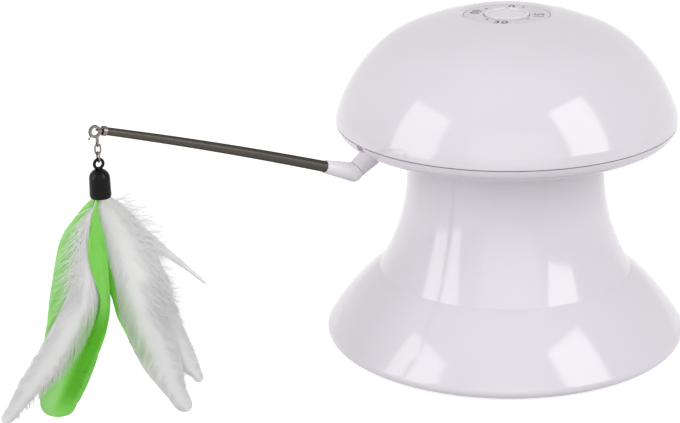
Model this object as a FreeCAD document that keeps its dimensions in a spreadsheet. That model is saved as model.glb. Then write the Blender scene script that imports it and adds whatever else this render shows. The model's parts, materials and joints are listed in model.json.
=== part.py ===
"""Automatic cat laser toy: a trumpet base, a turning mushroom head, a dial, and a spring wand with a
feather charm. Millimetres, +Z up, origin at the centre of the face that the feet rest on."""

import FreeCAD
import Part
import math
import os
import re
import Sketcher

V = FreeCAD.Vector

# Driving dimensions, in millimetres and degrees. Each one is a cell of the spreadsheet.
SIZES = {
    # Base shell: a bell with a rounded rim, a crease, and a trumpet neck closed by a deck.
    "base_radius": 80.0,
    "rim_lift": 0.8,
    "rim_round": 3.0,
    "rim_lean": 31.8,
    "rim_width": 3.6,
    "bell_curve": 109.0,
    "crease_height": 32.3,
    "neck_radius": 43.6,
    "neck_curve": 90.6,
    "neck_straight": 78.0,
    "neck_top": 88.4,
    "neck_round": 1.2,
    "shell_wall": 2.4,
    "deck_wall": 2.6,
    # Bottom plate, feet and its screws.
    "plate_recess": 1.0,
    "plate_wall": 2.2,
    "seat_gap": 0.3,
    "foot_radius": 6.0,
    "foot_circle": 66.0,
    "foot_bevel": 0.4,
    "base_post_circle": 60.0,
    "base_post_radius": 3.6,
    "screw_radius": 1.25,
    "screw_slack": 0.05,
    "screw_length": 9.0,
    "screw_head_radius": 2.5,
    "screw_head_height": 1.4,
    # Battery bay with three AA cells side by side, and its hinged door.
    "cell_radius": 7.1,
    "cell_length": 50.2,
    "cell_button_radius": 2.75,
    "cell_button_height": 1.0,
    "cell_pitch": 14.8,
    "cell_float": 0.4,
    "bay_slack": 1.3,
    "bay_wall": 1.6,
    "contact_wall": 0.4,
    "contact_width": 9.0,
    "spring_length": 5.4,
    "spring_radius": 4.2,
    "spring_wire": 0.35,
    "spring_turns": 3,
    "door_wall": 1.4,
    "door_margin": 1.7,
    "door_gap": 0.25,
    "door_pin_radius": 0.55,
    "door_pin_reach": 1.2,
    "pin_slack": 0.06,
    # Spindle, its bush in the deck, and the gear train that turns the head.
    "spindle_radius": 8.0,
    "spindle_bore": 5.0,
    "spindle_bottom": 63.6,
    "running_gap": 0.06,
    "bush_wall": 2.4,
    "bush_flange": 3.0,
    "bush_flange_wall": 1.2,
    "bush_drop": 1.4,
    "thrust_gap": 0.1,
    "clip_height": 64.4,
    "clip_wall": 1.1,
    "clip_groove": 0.8,
    "clip_radius": 10.5,
    "slow_module": 0.8,
    "spindle_teeth": 42,
    "compound_teeth": 14,
    "spindle_gear_height": 5.0,
    "fast_module": 0.6,
    "wheel_teeth": 42,
    "pinion_teeth": 12,
    "wheel_height": 4.0,
    "gear_overlap": 1.0,
    "gear_clear": 2.0,
    "pressure_angle": 25.0,
    "tooth_addendum": 0.8,
    "tooth_dedendum": 1.05,
    "tooth_backlash": 0.06,
    "compound_azimuth": 100.0,
    "motor_azimuth": -30.0,
    "gear_plate_radius": 36.0,
    "gear_plate_height": 54.0,
    "gear_plate_wall": 2.4,
    "gear_post_circle": 31.0,
    "gear_post_radius": 3.4,
    "gear_lift": 0.4,
    "axle_radius": 1.25,
    "axle_top": 80.0,
    "axle_post_bottom": 76.0,
    "axle_post_radius": 3.2,
    "motor_radius": 10.0,
    "motor_flat": 7.6,
    "motor_length": 25.0,
    "motor_boss_radius": 3.0,
    "motor_boss_height": 1.6,
    "motor_cap_height": 3.0,
    "shaft_radius": 1.0,
    "motor_screw_circle": 6.5,
    # Slip rings on the spindle and the brushes that touch them.
    "drum_wall": 1.4,
    "drum_length": 12.4,
    "slip_ring_wall": 0.8,
    "slip_ring_height": 2.0,
    "slip_ring_pitch": 3.5,
    "slip_ring_first": 2.4,
    "brush_azimuth": 220.0,
    "brush_gap": 0.3,
    "brush_length": 4.2,
    "brush_wall": 0.5,
    "brush_block_depth": 7.0,
    "brush_block_width": 10.0,
    # Head: the lower pan.
    "head_radius": 74.75,
    "head_equator": 100.8,
    "pan_flat": 50.5,
    "pan_under": 89.7,
    "pan_edge_round": 6.5,
    "head_wall": 2.3,
    "seam_height": 100.15,
    "seam_gap": 0.45,
    "lip_gap": 0.55,
    "lip_wall": 2.3,
    "lip_rise": 2.85,
    "head_post_circle": 53.0,
    "head_post_radius": 3.5,
    "head_seat_height": 96.0,
    "head_seat_wall": 2.6,
    "head_seat_radius": 4.2,
    "standoff_radius": 2.6,
    "board_height": 104.0,
    # Head: the dome, four tangent arcs from the seam to the crown.
    "crown_rise": 48.6,
    "hip_round": 12.9,
    "hip_angle": 18.8,
    "flank_curve": 65.8,
    "flank_angle": 47.2,
    "shoulder_curve": 42.5,
    # Dial in the crown.
    "dial_radius": 18.7,
    "dial_gap": 0.15,
    "dial_rim": 20.3,
    "dial_wall": 1.5,
    "dial_top": 146.5,
    "dial_floor": 2.2,
    "knob_radius": 9.7,
    "knob_gap": 0.3,
    "knob_rise": 1.1,
    "knob_rim": 1.5,
    "knob_dish": 0.7,
    "knob_notch": 1.6,
    "stem_radius": 3.0,
    "stem_tip_radius": 1.5,
    "stem_tip_length": 5.0,
    "switch_width": 14.0,
    "switch_height": 6.5,
    # Control board on its standoffs.
    "board_length": 58.0,
    "board_width": 38.0,
    "board_wall": 1.6,
    "board_inset": 4.0,
    "board_slot_radius": 9.0,
    # Laser unit in its nose, opposite the arm.
    "laser_azimuth": 35.0,
    "laser_tilt": 15.0,
    "laser_inset": 0.25,
    "laser_level": 93.9,
    "nose_radius": 4.2,
    "barrel_radius": 3.0,
    "barrel_length": 12.0,
    "barrel_setback": 3.4,
    "barrel_slack": 0.05,
    "window_wall": 1.0,
    "lens_radius": 2.4,
    "lens_wall": 1.2,
    "saddle_width": 9.0,
    "saddle_length": 5.0,
    # Arm socket and elbow. Reach is measured from the head's axis, level from the floor.
    "arm_azimuth": 215.0,
    "socket_stand": 1.55,
    "socket_level": 90.65,
    "socket_length": 12.5,
    "socket_tilt": 34.0,
    "socket_radius": 3.9,
    "socket_flare": 1.1,
    "spigot_radius": 2.4,
    "spigot_length": 7.5,
    "spigot_gap": 0.05,
    "joint_gap": 0.2,
    "notch_width": 6.0,
    "notch_depth": 2.6,
    "notch_drop": 2.2,
    "elbow_leg": 2.2,
    "elbow_arm": 14.6,
    "elbow_ball": 4.1,
    "elbow_tip_radius": 2.8,
    # Wand: a tapered spring rod that droops a little, with a ferrule and an eye.
    "wand_rise": 20.0,
    "wand_droop": 3.11,
    "wand_length": 104.03,
    "wand_root_radius": 2.4,
    "wand_tip_radius": 1.6,
    "wand_insert": 6.0,
    "ferrule_radius": 1.95,
    "ferrule_length": 1.6,
    "ferrule_lap": 0.8,
    "eye_radius": 1.3,
    "eye_wire": 0.4,
    # Clasp and links.
    "clasp_outer": 2.55,
    "clasp_inner": 1.6,
    "clasp_offset": 0.7,
    "clasp_drop": 0.6,
    "clasp_wall": 1.2,
    "lever_start": -38.0,
    "lever_end": 34.0,
    "lever_nose_gap": 0.12,
    "knuckle_radius": 0.66,
    "knuckle_gap": 0.1,
    "lever_tongue": 0.5,
    "tongue_slack": 0.06,
    "lever_pin": 0.22,
    "lever_pin_slack": 0.04,
    "lever_tail": 1.7,
    "lever_tail_angle": -50.0,
    "lever_tail_ball": 0.42,
    "clasp_neck": 0.6,
    "bail_radius": 0.95,
    "link_wire": 0.35,
    "link_height": 4.0,
    "link_half_width": 1.15,
    "link_slack": 0.1,
    "bail_level": 5.73,
    # Feather cap.
    "eyelet_outer": 2.5,
    "eyelet_hole": 1.25,
    "cap_shoulder": 4.2,
    "cap_radius": 4.3,
    "cap_flare": 0.05,
    "cap_height": 11.8,
    "cap_neck": 1.9,
    "cap_wall": 0.8,
    "cap_mouth": 4.0,
    "plug_height": 2.6,
    # Feathers: thin blades in layers, fanned in a plane turned by this angle about the vertical.
    "fan_azimuth": 12.2,
    "layer_pitch": 1.05,
    "blade_wall": 0.8,
    "quill_half": 0.6,
}

# Lengths that follow from the driving ones, by name.
DERIVED = {
    "crease_radius": "neck_radius + neck_curve - sqrt(neck_curve^2 - (neck_straight - crease_height)^2)",
    "cavity_crease": "crease_height - 1",
    "cavity_crease_radius": "neck_radius + neck_curve"
    " - sqrt((neck_curve + shell_wall)^2 - (neck_straight - cavity_crease)^2)",
    "rim_centre": "base_radius - rim_round",
    "plate_bottom": "rim_lift + plate_recess",
    "plate_top": "plate_bottom + plate_wall",
    "deck_bottom": "neck_top - deck_wall",
    "cell_level": "plate_bottom + door_wall + cell_float + cell_radius",
    "bay_half_width": "cell_pitch + cell_radius + bay_slack",
    "bay_half_length": "(cell_length + spring_length)/2 + contact_wall",
    "bay_ceiling": "cell_level + cell_radius + cell_float",
    "door_half_width": "bay_half_width + door_margin",
    "door_half_length": "bay_half_length + door_margin",
    "door_pin_level": "plate_bottom + door_wall/2",
    "door_pin_line": "door_half_length - door_wall/2",
    "slow_centres": "slow_module*(spindle_teeth + compound_teeth)/2",
    "fast_centres": "fast_module*(wheel_teeth + pinion_teeth)/2",
    "compound_spot_x": "slow_centres*cos(compound_azimuth)",
    "compound_spot_y": "slow_centres*sin(compound_azimuth)",
    "motor_spot_x": "compound_spot_x + fast_centres*cos(motor_azimuth)",
    "motor_spot_y": "compound_spot_y + fast_centres*sin(motor_azimuth)",
    "gear_plate_top": "gear_plate_height + gear_plate_wall",
    "spindle_gear_bottom": "clip_height + clip_wall",
    "spindle_gear_top": "spindle_gear_bottom + spindle_gear_height",
    "wheel_bottom": "gear_plate_top + gear_lift + gear_clear",
    "wheel_top": "wheel_bottom + wheel_height",
    "bush_bottom": "deck_bottom - bush_drop",
    "bush_outer": "spindle_radius + running_gap + bush_wall",
    "drum_bottom": "spindle_gear_top",
    "slip_ring_outer": "spindle_radius + drum_wall + slip_ring_wall",
    "pan_floor": "pan_under + head_wall",
    "pan_rim": "seam_height - seam_gap/2",
    "dome_rim": "seam_height + seam_gap/2",
    "pan_edge_centre": "head_radius - pan_edge_round",
    "pan_run": "pan_edge_centre - pan_flat",
    "pan_drop": "head_equator - pan_under - pan_edge_round",
    "pan_turn": "2*atan(pan_run/pan_drop) - 90 deg",
    "pan_curve": "pan_edge_round + pan_run/cos(pan_turn)",
    "pan_curve_centre": "pan_under + pan_curve",
    "lip_outer": "head_radius - head_wall - lip_gap",
    "lip_inner": "lip_outer - lip_wall",
    "laser_reach": "head_radius - laser_inset",
    "socket_reach": "head_radius + socket_stand",
    "hip_centre": "head_radius - hip_round",
    "flank_centre": "hip_centre - (flank_curve - hip_round)*cos(hip_angle)",
    "flank_level": "head_equator - (flank_curve - hip_round)*sin(hip_angle)",
    "shoulder_centre": "flank_centre + (flank_curve - shoulder_curve)*cos(flank_angle)",
    "shoulder_level": "flank_level + (flank_curve - shoulder_curve)*sin(flank_angle)",
    "crown_room": "head_equator + crown_rise - shoulder_level - shoulder_curve",
    "crown_angle": "2*atan(shoulder_centre/crown_room) - 90 deg",
    "crown_curve": "shoulder_curve + shoulder_centre/cos(crown_angle)",
    "crown_level": "head_equator + crown_rise - crown_curve",
    "dial_seat": "dial_top - dial_wall",
    "dial_well": "dial_radius + dial_gap",
    "dial_under": "dial_seat - dial_floor",
    "knob_bottom": "dial_seat + knob_gap",
    "elbow_reach": "socket_reach + elbow_leg*cos(socket_tilt)",
    "elbow_level": "socket_level - elbow_leg*sin(socket_tilt)",
    "wand_reach": "elbow_reach + elbow_arm*cos(wand_rise)",
    "wand_level": "elbow_level + elbow_arm*sin(wand_rise)",
    "wand_curve": "wand_length*180/(pi*wand_droop)",
    "wand_end_slope": "wand_rise - wand_droop",
    "tip_reach": "wand_reach + wand_curve*(sin(wand_rise) - sin(wand_end_slope))",
    "tip_level": "wand_level + wand_curve*(cos(wand_end_slope) - cos(wand_rise))",
    "ferrule_end": "ferrule_length - ferrule_lap",
    "eye_centre": "ferrule_end + eye_radius - eye_wire/2",
    "eye_reach": "tip_reach + eye_centre*cos(wand_end_slope)",
    "eye_level": "tip_level + eye_centre*sin(wand_end_slope)",
    "hang_reach": "eye_reach + eye_radius*cos(wand_end_slope)",
    "hang_level": "eye_level + eye_radius*sin(wand_end_slope)",
    "clasp_reach": "hang_reach + clasp_offset",
    "clasp_level": "hang_level - clasp_drop",
    "bail_centre": "hang_level - bail_level",
    "bail_foot": "bail_centre - bail_radius",
    "upper_link_top": "bail_foot + 2*link_wire + link_slack",
    "upper_link_foot": "upper_link_top - link_height",
    "lower_link_top": "upper_link_foot + 2*link_wire + link_slack",
    "lower_link_foot": "lower_link_top - link_height",
    "eyelet_level": "lower_link_foot + link_wire + link_slack - eyelet_hole",
    "cap_top": "eyelet_level - cap_neck",
    "cap_bottom": "cap_top - cap_height",
    "plug_bottom": "cap_bottom + cap_mouth - plug_height",
}

doc = FreeCAD.newDocument("CatLaserToy")
sheet = doc.addObject("Spreadsheet::Sheet", "Sizes")
for row, (alias, amount) in enumerate(SIZES.items(), start=1):
    sheet.set(f"A{row}", alias.replace("_", " "))
    sheet.set(f"B{row}", repr(amount))
    sheet.setAlias(f"B{row}", alias)
doc.recompute()

PARTS = {}
WORD = re.compile(r"[a-z]+(?:_[a-z]+)+")


def cells(text, prefix="Sizes."):
    """The expression with each derived name written out and each cell's name led by its sheet."""

    def swap(found):
        name = found.group()
        if name in DERIVED:
            return "(" + cells(DERIVED[name], prefix) + ")"
        return prefix + name

    return WORD.sub(swap, str(text))


def value(text):
    """The number that an expression on the sheet comes to."""
    number = sheet.evalExpression(cells(text, prefix=""))
    return float(getattr(number, "Value", number))


def spot(x=0, y=0, z=0, axis="0; 0; 1", angle=0):
    """One placement, as text: a turn about an axis, then a shift."""
    return f"placement(vector({x}; {y}; {z}); rotation(vector({axis}); {angle}))"


ARM = spot(angle="arm_azimuth")
LASER = spot(angle="laser_azimuth")
ACROSS = "0; 1; 0"
ALONG = "1; 0; 0"


def place(thing, *spots):
    """Bind an object's placement to the product of the spots."""
    if spots:
        thing.setExpression("Placement", cells(" * ".join(spots)))
    return thing


def bind(thing, **sizes):
    for prop, text in sizes.items():
        thing.setExpression(prop, cells(text))
    return thing


def rod(name, radius, length, *spots):
    return place(bind(doc.addObject("Part::Cylinder", name), Radius=radius, Height=length), *spots)


def cone(name, radius, end_radius, length, *spots):
    thing = doc.addObject("Part::Cone", name)
    return place(bind(thing, Radius1=radius, Radius2=end_radius, Height=length), *spots)


def ball(name, radius, *spots):
    return place(bind(doc.addObject("Part::Sphere", name), Radius=radius), *spots)


def hoop(name, radius, wire, *spots):
    return place(bind(doc.addObject("Part::Torus", name), Radius1=radius, Radius2=wire), *spots)


def brick(name, length, width, height, *spots):
    """A box that stands on its placement's origin, centred in X and Y."""
    thing = bind(doc.addObject("Part::Box", name), Length=length, Width=width, Height=height)
    return place(thing, *spots, spot(f"-({length})/2", f"-({width})/2"))


def join(name, things, *spots):
    joined = doc.addObject("Part::MultiFuse", name)
    joined.Shapes = list(things)
    joined.Refine = True
    return place(joined, *spots)


def cut(name, base, tools, *spots):
    tools = list(tools)
    removed = doc.addObject("Part::Cut", name)
    removed.Base = base
    removed.Tool = tools[0] if len(tools) == 1 else join(name + "_tools", tools)
    return place(removed, *spots)


def common(name, first, second):
    shared = doc.addObject("Part::Common", name)
    shared.Base = first
    shared.Tool = second
    return shared


def group(name, things):
    """Separate solids that share one node."""
    together = doc.addObject("Part::Compound", name)
    together.Links = list(things)
    return together


def solid(name, shape, *spots):
    """A piece whose shape comes from a formula."""
    thing = doc.addObject("Part::Feature", name)
    thing.Shape = shape
    return place(thing, *spots)


def keep(label, thing):
    """Make an object a finished piece: its label names its file."""
    thing.Label = label
    PARTS[label] = thing
    return thing


# Sketches ----------------------------------------------------------------------------------------


def attach(body, name, role):
    sketch = body.newObject("Sketcher::SketchObject", name)
    plane = next(one for one in body.Origin.OriginFeatures if one.Role == role)
    sketch.AttachmentSupport = [(plane, "")]
    sketch.MapMode = "FlatFace"
    return sketch


def pin_down(sketch, kind, geometry, end, text):
    """Hold one coordinate of a point to an expression, or to the axis where it is zero."""
    amount = value(text)
    if abs(amount) < 1e-9:
        axis = -2 if kind == "DistanceX" else -1
        sketch.addConstraint(Sketcher.Constraint("PointOnObject", geometry, end, axis))
        return
    index = sketch.addConstraint(Sketcher.Constraint(kind, -1, 1, geometry, end, amount))
    sketch.setExpression(f"Constraints[{index}]", cells(text))


def arc_between(start, end, radius, side):
    """The arc from start to end whose centre lies to the left (side 1) or right (-1) of the way."""
    chord = end - start
    middle = (start + end) * 0.5
    reach = math.sqrt(max(radius**2 - (chord.Length / 2) ** 2, 0.0))
    left = V(-chord.y, chord.x, 0).normalize()
    centre = middle + left * (reach * side)
    first, last = (start, end) if side > 0 else (end, start)
    angles = [math.atan2(p.y - centre.y, p.x - centre.x) for p in (first, last)]
    if angles[1] < angles[0]:
        angles[1] += 2 * math.pi
    return Part.ArcOfCircle(Part.Circle(centre, V(0, 0, 1), radius), angles[0], angles[1])


def draw(sketch, points):
    """A closed outline. A point is (x, y), or (x, y, radius, side) where an arc leads to the next."""
    spots = [V(value(p[0]), value(p[1]), 0) for p in points]
    ends = []
    for i, point in enumerate(points):
        start, end = spots[i], spots[(i + 1) % len(points)]
        if len(point) == 4:
            edge = arc_between(start, end, value(point[2]), point[3])
            ends.append((1, 2) if point[3] > 0 else (2, 1))
        else:
            edge = Part.LineSegment(start, end)
            ends.append((1, 2))
        sketch.addGeometry(edge)
    for i, point in enumerate(points):
        after = (i + 1) % len(points)
        sketch.addConstraint(Sketcher.Constraint("Coincident", i, ends[i][1], after, ends[after][0]))
        pin_down(sketch, "DistanceX", i, ends[i][0], point[0])
        pin_down(sketch, "DistanceY", i, ends[i][0], point[1])
        if len(point) == 4:
            index = sketch.addConstraint(Sketcher.Constraint("Radius", i, value(point[2])))
            sketch.setExpression(f"Constraints[{index}]", cells(point[2]))


def turned(name, points, *spots):
    """A body turned about its own Z from a half outline in (radius, height)."""
    body = doc.addObject("PartDesign::Body", name)
    sketch = attach(body, name + "_outline", "XZ_Plane")
    draw(sketch, points)
    turn = body.newObject("PartDesign::Revolution", name + "_turn")
    turn.Profile = sketch
    turn.ReferenceAxis = (sketch, ["V_Axis"])
    turn.Angle = 360
    body.Tip = turn
    return place(body, *spots)


# Shared small parts ------------------------------------------------------------------------------


def around(count, first, radius):
    """The placements of a ring of equal pieces."""
    return [spot(angle=f"{first} + {360 * i / count}") + f" * {spot(x=radius)}" for i in range(count)]


def screw(name, length, *spots):
    """A pan-head screw that points up from the underside of its head, with a cross recess."""
    head = turned(
        name + "_head",
        [
            ("0", "-screw_head_height"),
            ("screw_head_radius - screw_head_height/2", "-screw_head_height", "screw_head_height/2", 1),
            ("screw_head_radius", "-screw_head_height/2"),
            ("screw_head_radius", "0"),
            ("screw_radius", "0"),
            ("screw_radius", f"{length} - screw_radius"),
            ("0", length),
        ],
    )
    low = spot(z="-screw_head_height")
    arm_length, arm_width = "screw_head_radius*1.2", "screw_head_radius*0.24"
    recess = [
        brick(name + "_slot_one", arm_length, arm_width, "screw_head_height/2", low),
        brick(name + "_slot_two", arm_width, arm_length, "screw_head_height/2", low),
    ]
    return cut(name, head, recess, *spots)


def gear_face(teeth, module, phase):
    """The outline of a spur gear with involute flanks, one tooth centred on the phase angle."""
    pitch = module * teeth / 2
    pressure = math.radians(value("pressure_angle"))
    base = pitch * math.cos(pressure)
    tip = pitch + value("tooth_addendum") * module
    root = pitch - value("tooth_dedendum") * module
    half = math.pi / (2 * teeth) - value("tooth_backlash") / (2 * pitch)

    def involute(radius):
        angle = math.acos(min(1.0, base / radius))
        return math.tan(angle) - angle

    def flank(radius):
        return half + involute(pitch) - involute(max(radius, base))

    def polar(radius, angle):
        return V(radius * math.cos(angle), radius * math.sin(angle), 0)

    low = max(root, base)
    edges = []
    for tooth in range(teeth):
        middle = math.radians(phase) + 2 * math.pi * tooth / teeth
        following = middle + 2 * math.pi / teeth
        sides = {}
        for side in (-1, 1):
            sides[side] = [polar(r, middle + side * flank(r)) for r in (low, (low + tip) / 2, tip)]
        feet = [polar(root, middle + side * flank(low)) for side in (-1, 1)]
        if low > root:
            edges.append(Part.LineSegment(feet[0], sides[-1][0]).toShape())
        edges.append(Part.Arc(*sides[-1]).toShape())
        edges.append(Part.Arc(sides[-1][2], polar(tip, middle), sides[1][2]).toShape())
        edges.append(Part.Arc(*reversed(sides[1])).toShape())
        if low > root:
            edges.append(Part.LineSegment(sides[1][0], feet[1]).toShape())
        gap_end = polar(root, following - flank(low))
        edges.append(Part.Arc(feet[1], polar(root, (middle + following) / 2), gap_end).toShape())
    return Part.Face(Part.Wire(edges))


def gear(teeth, module, phase, bottom, height):
    """A spur gear's solid, standing at a height."""
    face = gear_face(int(round(value(teeth))), value(module), phase)
    face.translate(V(0, 0, value(bottom)))
    return face.extrude(V(0, 0, value(height)))


# Base --------------------------------------------------------------------------------------------


def base_shell():
    """Bell and trumpet neck in one moulding, with the deck, its screw posts and the axle's boss."""
    outside = turned(
        "base_outside",
        [
            ("0", "rim_lift"),
            ("rim_centre", "rim_lift", "rim_round", 1),
            (
                "rim_centre + rim_round*cos(rim_lean)",
                "rim_lift + rim_round + rim_round*sin(rim_lean)",
                "bell_curve",
                1,
            ),
            ("crease_radius", "crease_height", "neck_curve", -1),
            ("neck_radius", "neck_straight"),
            ("neck_radius", "neck_top - neck_round", "neck_round", 1),
            ("neck_radius - neck_round", "neck_top"),
            ("0", "neck_top"),
        ],
    )
    cavity = turned(
        "base_cavity",
        [
            ("0", "0"),
            ("base_radius - rim_width", "0"),
            ("base_radius - rim_width", "rim_lift + rim_round + 2.2", "bell_curve - shell_wall", 1),
            ("cavity_crease_radius", "cavity_crease", "neck_curve + shell_wall", -1),
            ("neck_radius - shell_wall", "neck_straight"),
            ("neck_radius - shell_wall", "deck_bottom"),
            ("0", "deck_bottom"),
        ],
    )
    posts = []
    holes = []
    for i, place_text in enumerate(around(4, "45", "base_post_circle")):
        up = f"{place_text} * {spot(z='plate_top')}"
        posts.append(rod(f"base_post_{i}", "base_post_radius", "crease_height", up))
        holes.append(rod(f"base_pilot_{i}", "screw_radius + screw_slack", "screw_length", up))
    for i, place_text in enumerate(around(3, "compound_azimuth + 60", "gear_post_circle")):
        up = f"{place_text} * {spot(z='gear_plate_top')}"
        posts.append(rod(f"gear_post_{i}", "gear_post_radius", "neck_top - gear_plate_top", up))
        holes.append(rod(f"gear_pilot_{i}", "screw_radius + screw_slack", "screw_length", up))
    over_axle = spot("compound_spot_x", "compound_spot_y", "axle_post_bottom")
    posts.append(rod("axle_post", "axle_post_radius", "neck_top - axle_post_bottom", over_axle))
    holes.append(rod("axle_socket", "axle_radius", "axle_top - axle_post_bottom", over_axle))
    holes.append(rod("bush_hole", "bush_outer", "neck_top", spot(z="gear_plate_top")))
    inside = cut("base_inside", cavity, posts)
    return keep("base_shell", cut("base_body", outside, [inside, *holes]))


def spindle_bushing():
    """Flanged acetal bush pressed into the deck; the head's spindle turns in it."""
    bush = turned(
        "bush",
        [
            ("spindle_radius + running_gap", "bush_bottom"),
            ("bush_outer", "bush_bottom"),
            ("bush_outer", "neck_top"),
            ("bush_outer + bush_flange", "neck_top"),
            ("bush_outer + bush_flange", "neck_top + bush_flange_wall"),
            ("spindle_radius + running_gap", "neck_top + bush_flange_wall"),
        ],
    )
    return keep("spindle_bushing", bush)


def bottom_plate():
    """Round plate with the battery bay's box on it, the door's rebate and the hinge sockets."""
    disc = rod("plate_disc", "base_radius - rim_width - seat_gap", "plate_wall", spot(z="plate_bottom"))
    box = brick(
        "bay_box",
        "2*(bay_half_width + bay_wall)",
        "2*(bay_half_length + bay_wall)",
        "bay_ceiling + bay_wall - plate_bottom",
        spot(z="plate_bottom"),
    )
    bay = brick("bay", "2*bay_half_width", "2*bay_half_length", "bay_ceiling", spot())
    rebate = brick(
        "door_rebate",
        "2*(door_half_width + door_gap)",
        "2*(door_half_length + door_gap)",
        "plate_bottom + door_wall",
        spot(),
    )
    hinge_line = spot("-door_half_width - door_pin_reach - door_gap", "-door_pin_line", "door_pin_level")
    sockets = rod(
        "hinge_sockets",
        "door_pin_radius + pin_slack",
        "2*(door_half_width + door_pin_reach + door_gap)",
        hinge_line,
        spot(axis=ACROSS, angle=90),
    )
    holes = []
    for i, place_text in enumerate(around(4, "45", "base_post_circle")):
        holes.append(rod(f"plate_hole_{i}", "screw_radius + screw_slack*4", "plate_top", place_text))
    body = join("plate_body", [disc, box])
    return keep("bottom_plate", cut("plate", body, [bay, rebate, sockets, *holes]))


def battery_door():
    """Door in the plate's rebate: one rounded edge carries two pivot pins, the other a pull notch."""
    slab = brick(
        "door_slab",
        "2*door_half_width",
        "2*door_half_length - door_wall/2",
        "door_wall",
        spot(y="door_wall/4", z="plate_bottom"),
    )
    edge = spot("-door_half_width", "-door_pin_line", "door_pin_level")
    rounded = rod("door_edge", "door_wall/2", "2*door_half_width", edge, spot(axis=ACROSS, angle=90))
    pins = rod(
        "door_pins",
        "door_pin_radius",
        "2*(door_half_width + door_pin_reach)",
        spot("-door_half_width - door_pin_reach", "-door_pin_line", "door_pin_level"),
        spot(axis=ACROSS, angle=90),
    )
    notch = rod(
        "door_notch",
        "door_wall*5",
        "door_wall",
        spot(y="door_half_length + door_wall*2.5", z="plate_bottom - door_wall/2"),
    )
    return keep("battery_door", cut("door", join("door_body", [slab, rounded, pins]), [notch]))


def feet():
    """Four rubber feet stuck to the plate."""
    for i, place_text in enumerate(around(4, "0", "foot_circle"), start=1):
        foot = turned(
            f"foot_{i}",
            [
                ("0", "0"),
                ("foot_radius - foot_bevel", "0"),
                ("foot_radius", "foot_bevel"),
                ("foot_radius", "plate_bottom"),
                ("0", "plate_bottom"),
            ],
            place_text,
        )
        keep(f"rubber_foot_{i}", foot)


def base_screws():
    screws = []
    for i, place_text in enumerate(around(4, "45", "base_post_circle")):
        seat = spot(z="plate_bottom")
        screws.append(screw(f"base_screw_{i}", "screw_length", f"{place_text} * {seat}"))
    keep("base_screws", group("base_screw_set", screws))


def battery_cells():
    """Three AA cells; the middle one lies the other way round."""
    for i, way in enumerate((1, -1, 1), start=1):
        flat_end = f"{-way}*(bay_half_length - contact_wall - spring_length)"
        cell = turned(
            f"cell_{i}",
            [
                ("0", "0"),
                ("cell_radius - 0.5", "0"),
                ("cell_radius", "0.5"),
                ("cell_radius", "cell_length - cell_button_height - 0.5"),
                ("cell_radius - 0.5", "cell_length - cell_button_height"),
                ("cell_button_radius", "cell_length - cell_button_height"),
                ("cell_button_radius", "cell_length"),
                ("0", "cell_length"),
            ],
            spot(f"cell_pitch*{i - 2}", flat_end, "cell_level"),
            spot(axis=ALONG, angle=-90 * way),
        )
        keep(f"aa_cell_{i}", cell)


def coil_spring():
    """A coil that stands on Z: each half turn is a flat half ring, tilted so that the wire climbs."""
    radius, wire = value("spring_radius"), value("spring_wire")
    halves = 2 * int(round(value("spring_turns")))
    step = value("spring_length - 2*spring_wire") / halves
    turns = []
    for i in range(halves):
        side = 1 if i % 2 == 0 else -1
        start, end = V(side * radius, 0, i * step), V(-side * radius, 0, (i + 1) * step)
        axis = (start - end).cross(V(0, side, 0))
        section = Part.Face(Part.Wire(Part.Circle(start, V(0, 1, 0), wire).toShape()))
        turns.append(section.revolve((start + end) * 0.5, axis, 180))
    return turns[0].fuse(turns[1:])


def battery_contacts():
    """Plated tabs on both end walls of the bay, and a coil spring at each cell's flat end."""
    tabs = []
    springs = []
    for i, way in enumerate((1, -1, 1), start=1):
        for end in (1, -1):
            middle = spot(
                f"cell_pitch*{i - 2}",
                f"{end}*(bay_half_length - contact_wall/2)",
                "cell_level - contact_width/2",
            )
            name = f"tab_{i}_{end + 1}"
            tabs.append(brick(name, "contact_width", "contact_wall", "contact_width", middle))
        springs.append(
            solid(
                f"spring_{i}",
                coil_spring(),
                spot(f"cell_pitch*{i - 2}", f"{-way}*(bay_half_length - contact_wall)", "cell_level"),
                spot(axis=ALONG, angle=-90 * way),
                spot(z="spring_wire"),
            )
        )
    keep("contact_plates", group("tab_set", tabs))
    keep("contact_springs", group("spring_set", springs))


# Gear train --------------------------------------------------------------------------------------


def gear_plate():
    """Disc under the neck's deck that holds the motor and the compound gear's axle."""
    disc = rod("gear_disc", "gear_plate_radius", "gear_plate_wall", spot(z="gear_plate_height"))
    motor = spot("motor_spot_x", "motor_spot_y", "gear_plate_height")
    axle = spot("compound_spot_x", "compound_spot_y", "gear_plate_height")
    holes = [
        rod("motor_boss_hole", "motor_boss_radius + screw_slack", "gear_plate_wall", motor),
        rod("axle_hole", "axle_radius", "gear_plate_wall", axle),
        rod("wire_hole", "spindle_bore", "gear_plate_wall", spot(y="-spindle_bore", z="gear_plate_height")),
    ]
    for i, place_text in enumerate(around(3, "compound_azimuth + 60", "gear_post_circle")):
        up = f"{place_text} * {spot(z='gear_plate_height')}"
        holes.append(rod(f"gear_hole_{i}", "screw_radius + screw_slack*4", "gear_plate_wall", up))
    for i, place_text in enumerate(around(2, "motor_azimuth + 90", "motor_screw_circle")):
        up = f"{motor} * {place_text}"
        holes.append(rod(f"motor_screw_hole_{i}", "screw_radius", "gear_plate_wall", up))
    return keep("gear_plate", cut("gear_plate_body", disc, holes))


def gear_plate_screws():
    screws = []
    for i, place_text in enumerate(around(3, "compound_azimuth + 60", "gear_post_circle")):
        seat = spot(z="gear_plate_height")
        screws.append(screw(f"gear_screw_{i}", "screw_length", f"{place_text} * {seat}"))
    keep("gear_plate_screws", group("gear_screw_set", screws))


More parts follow.
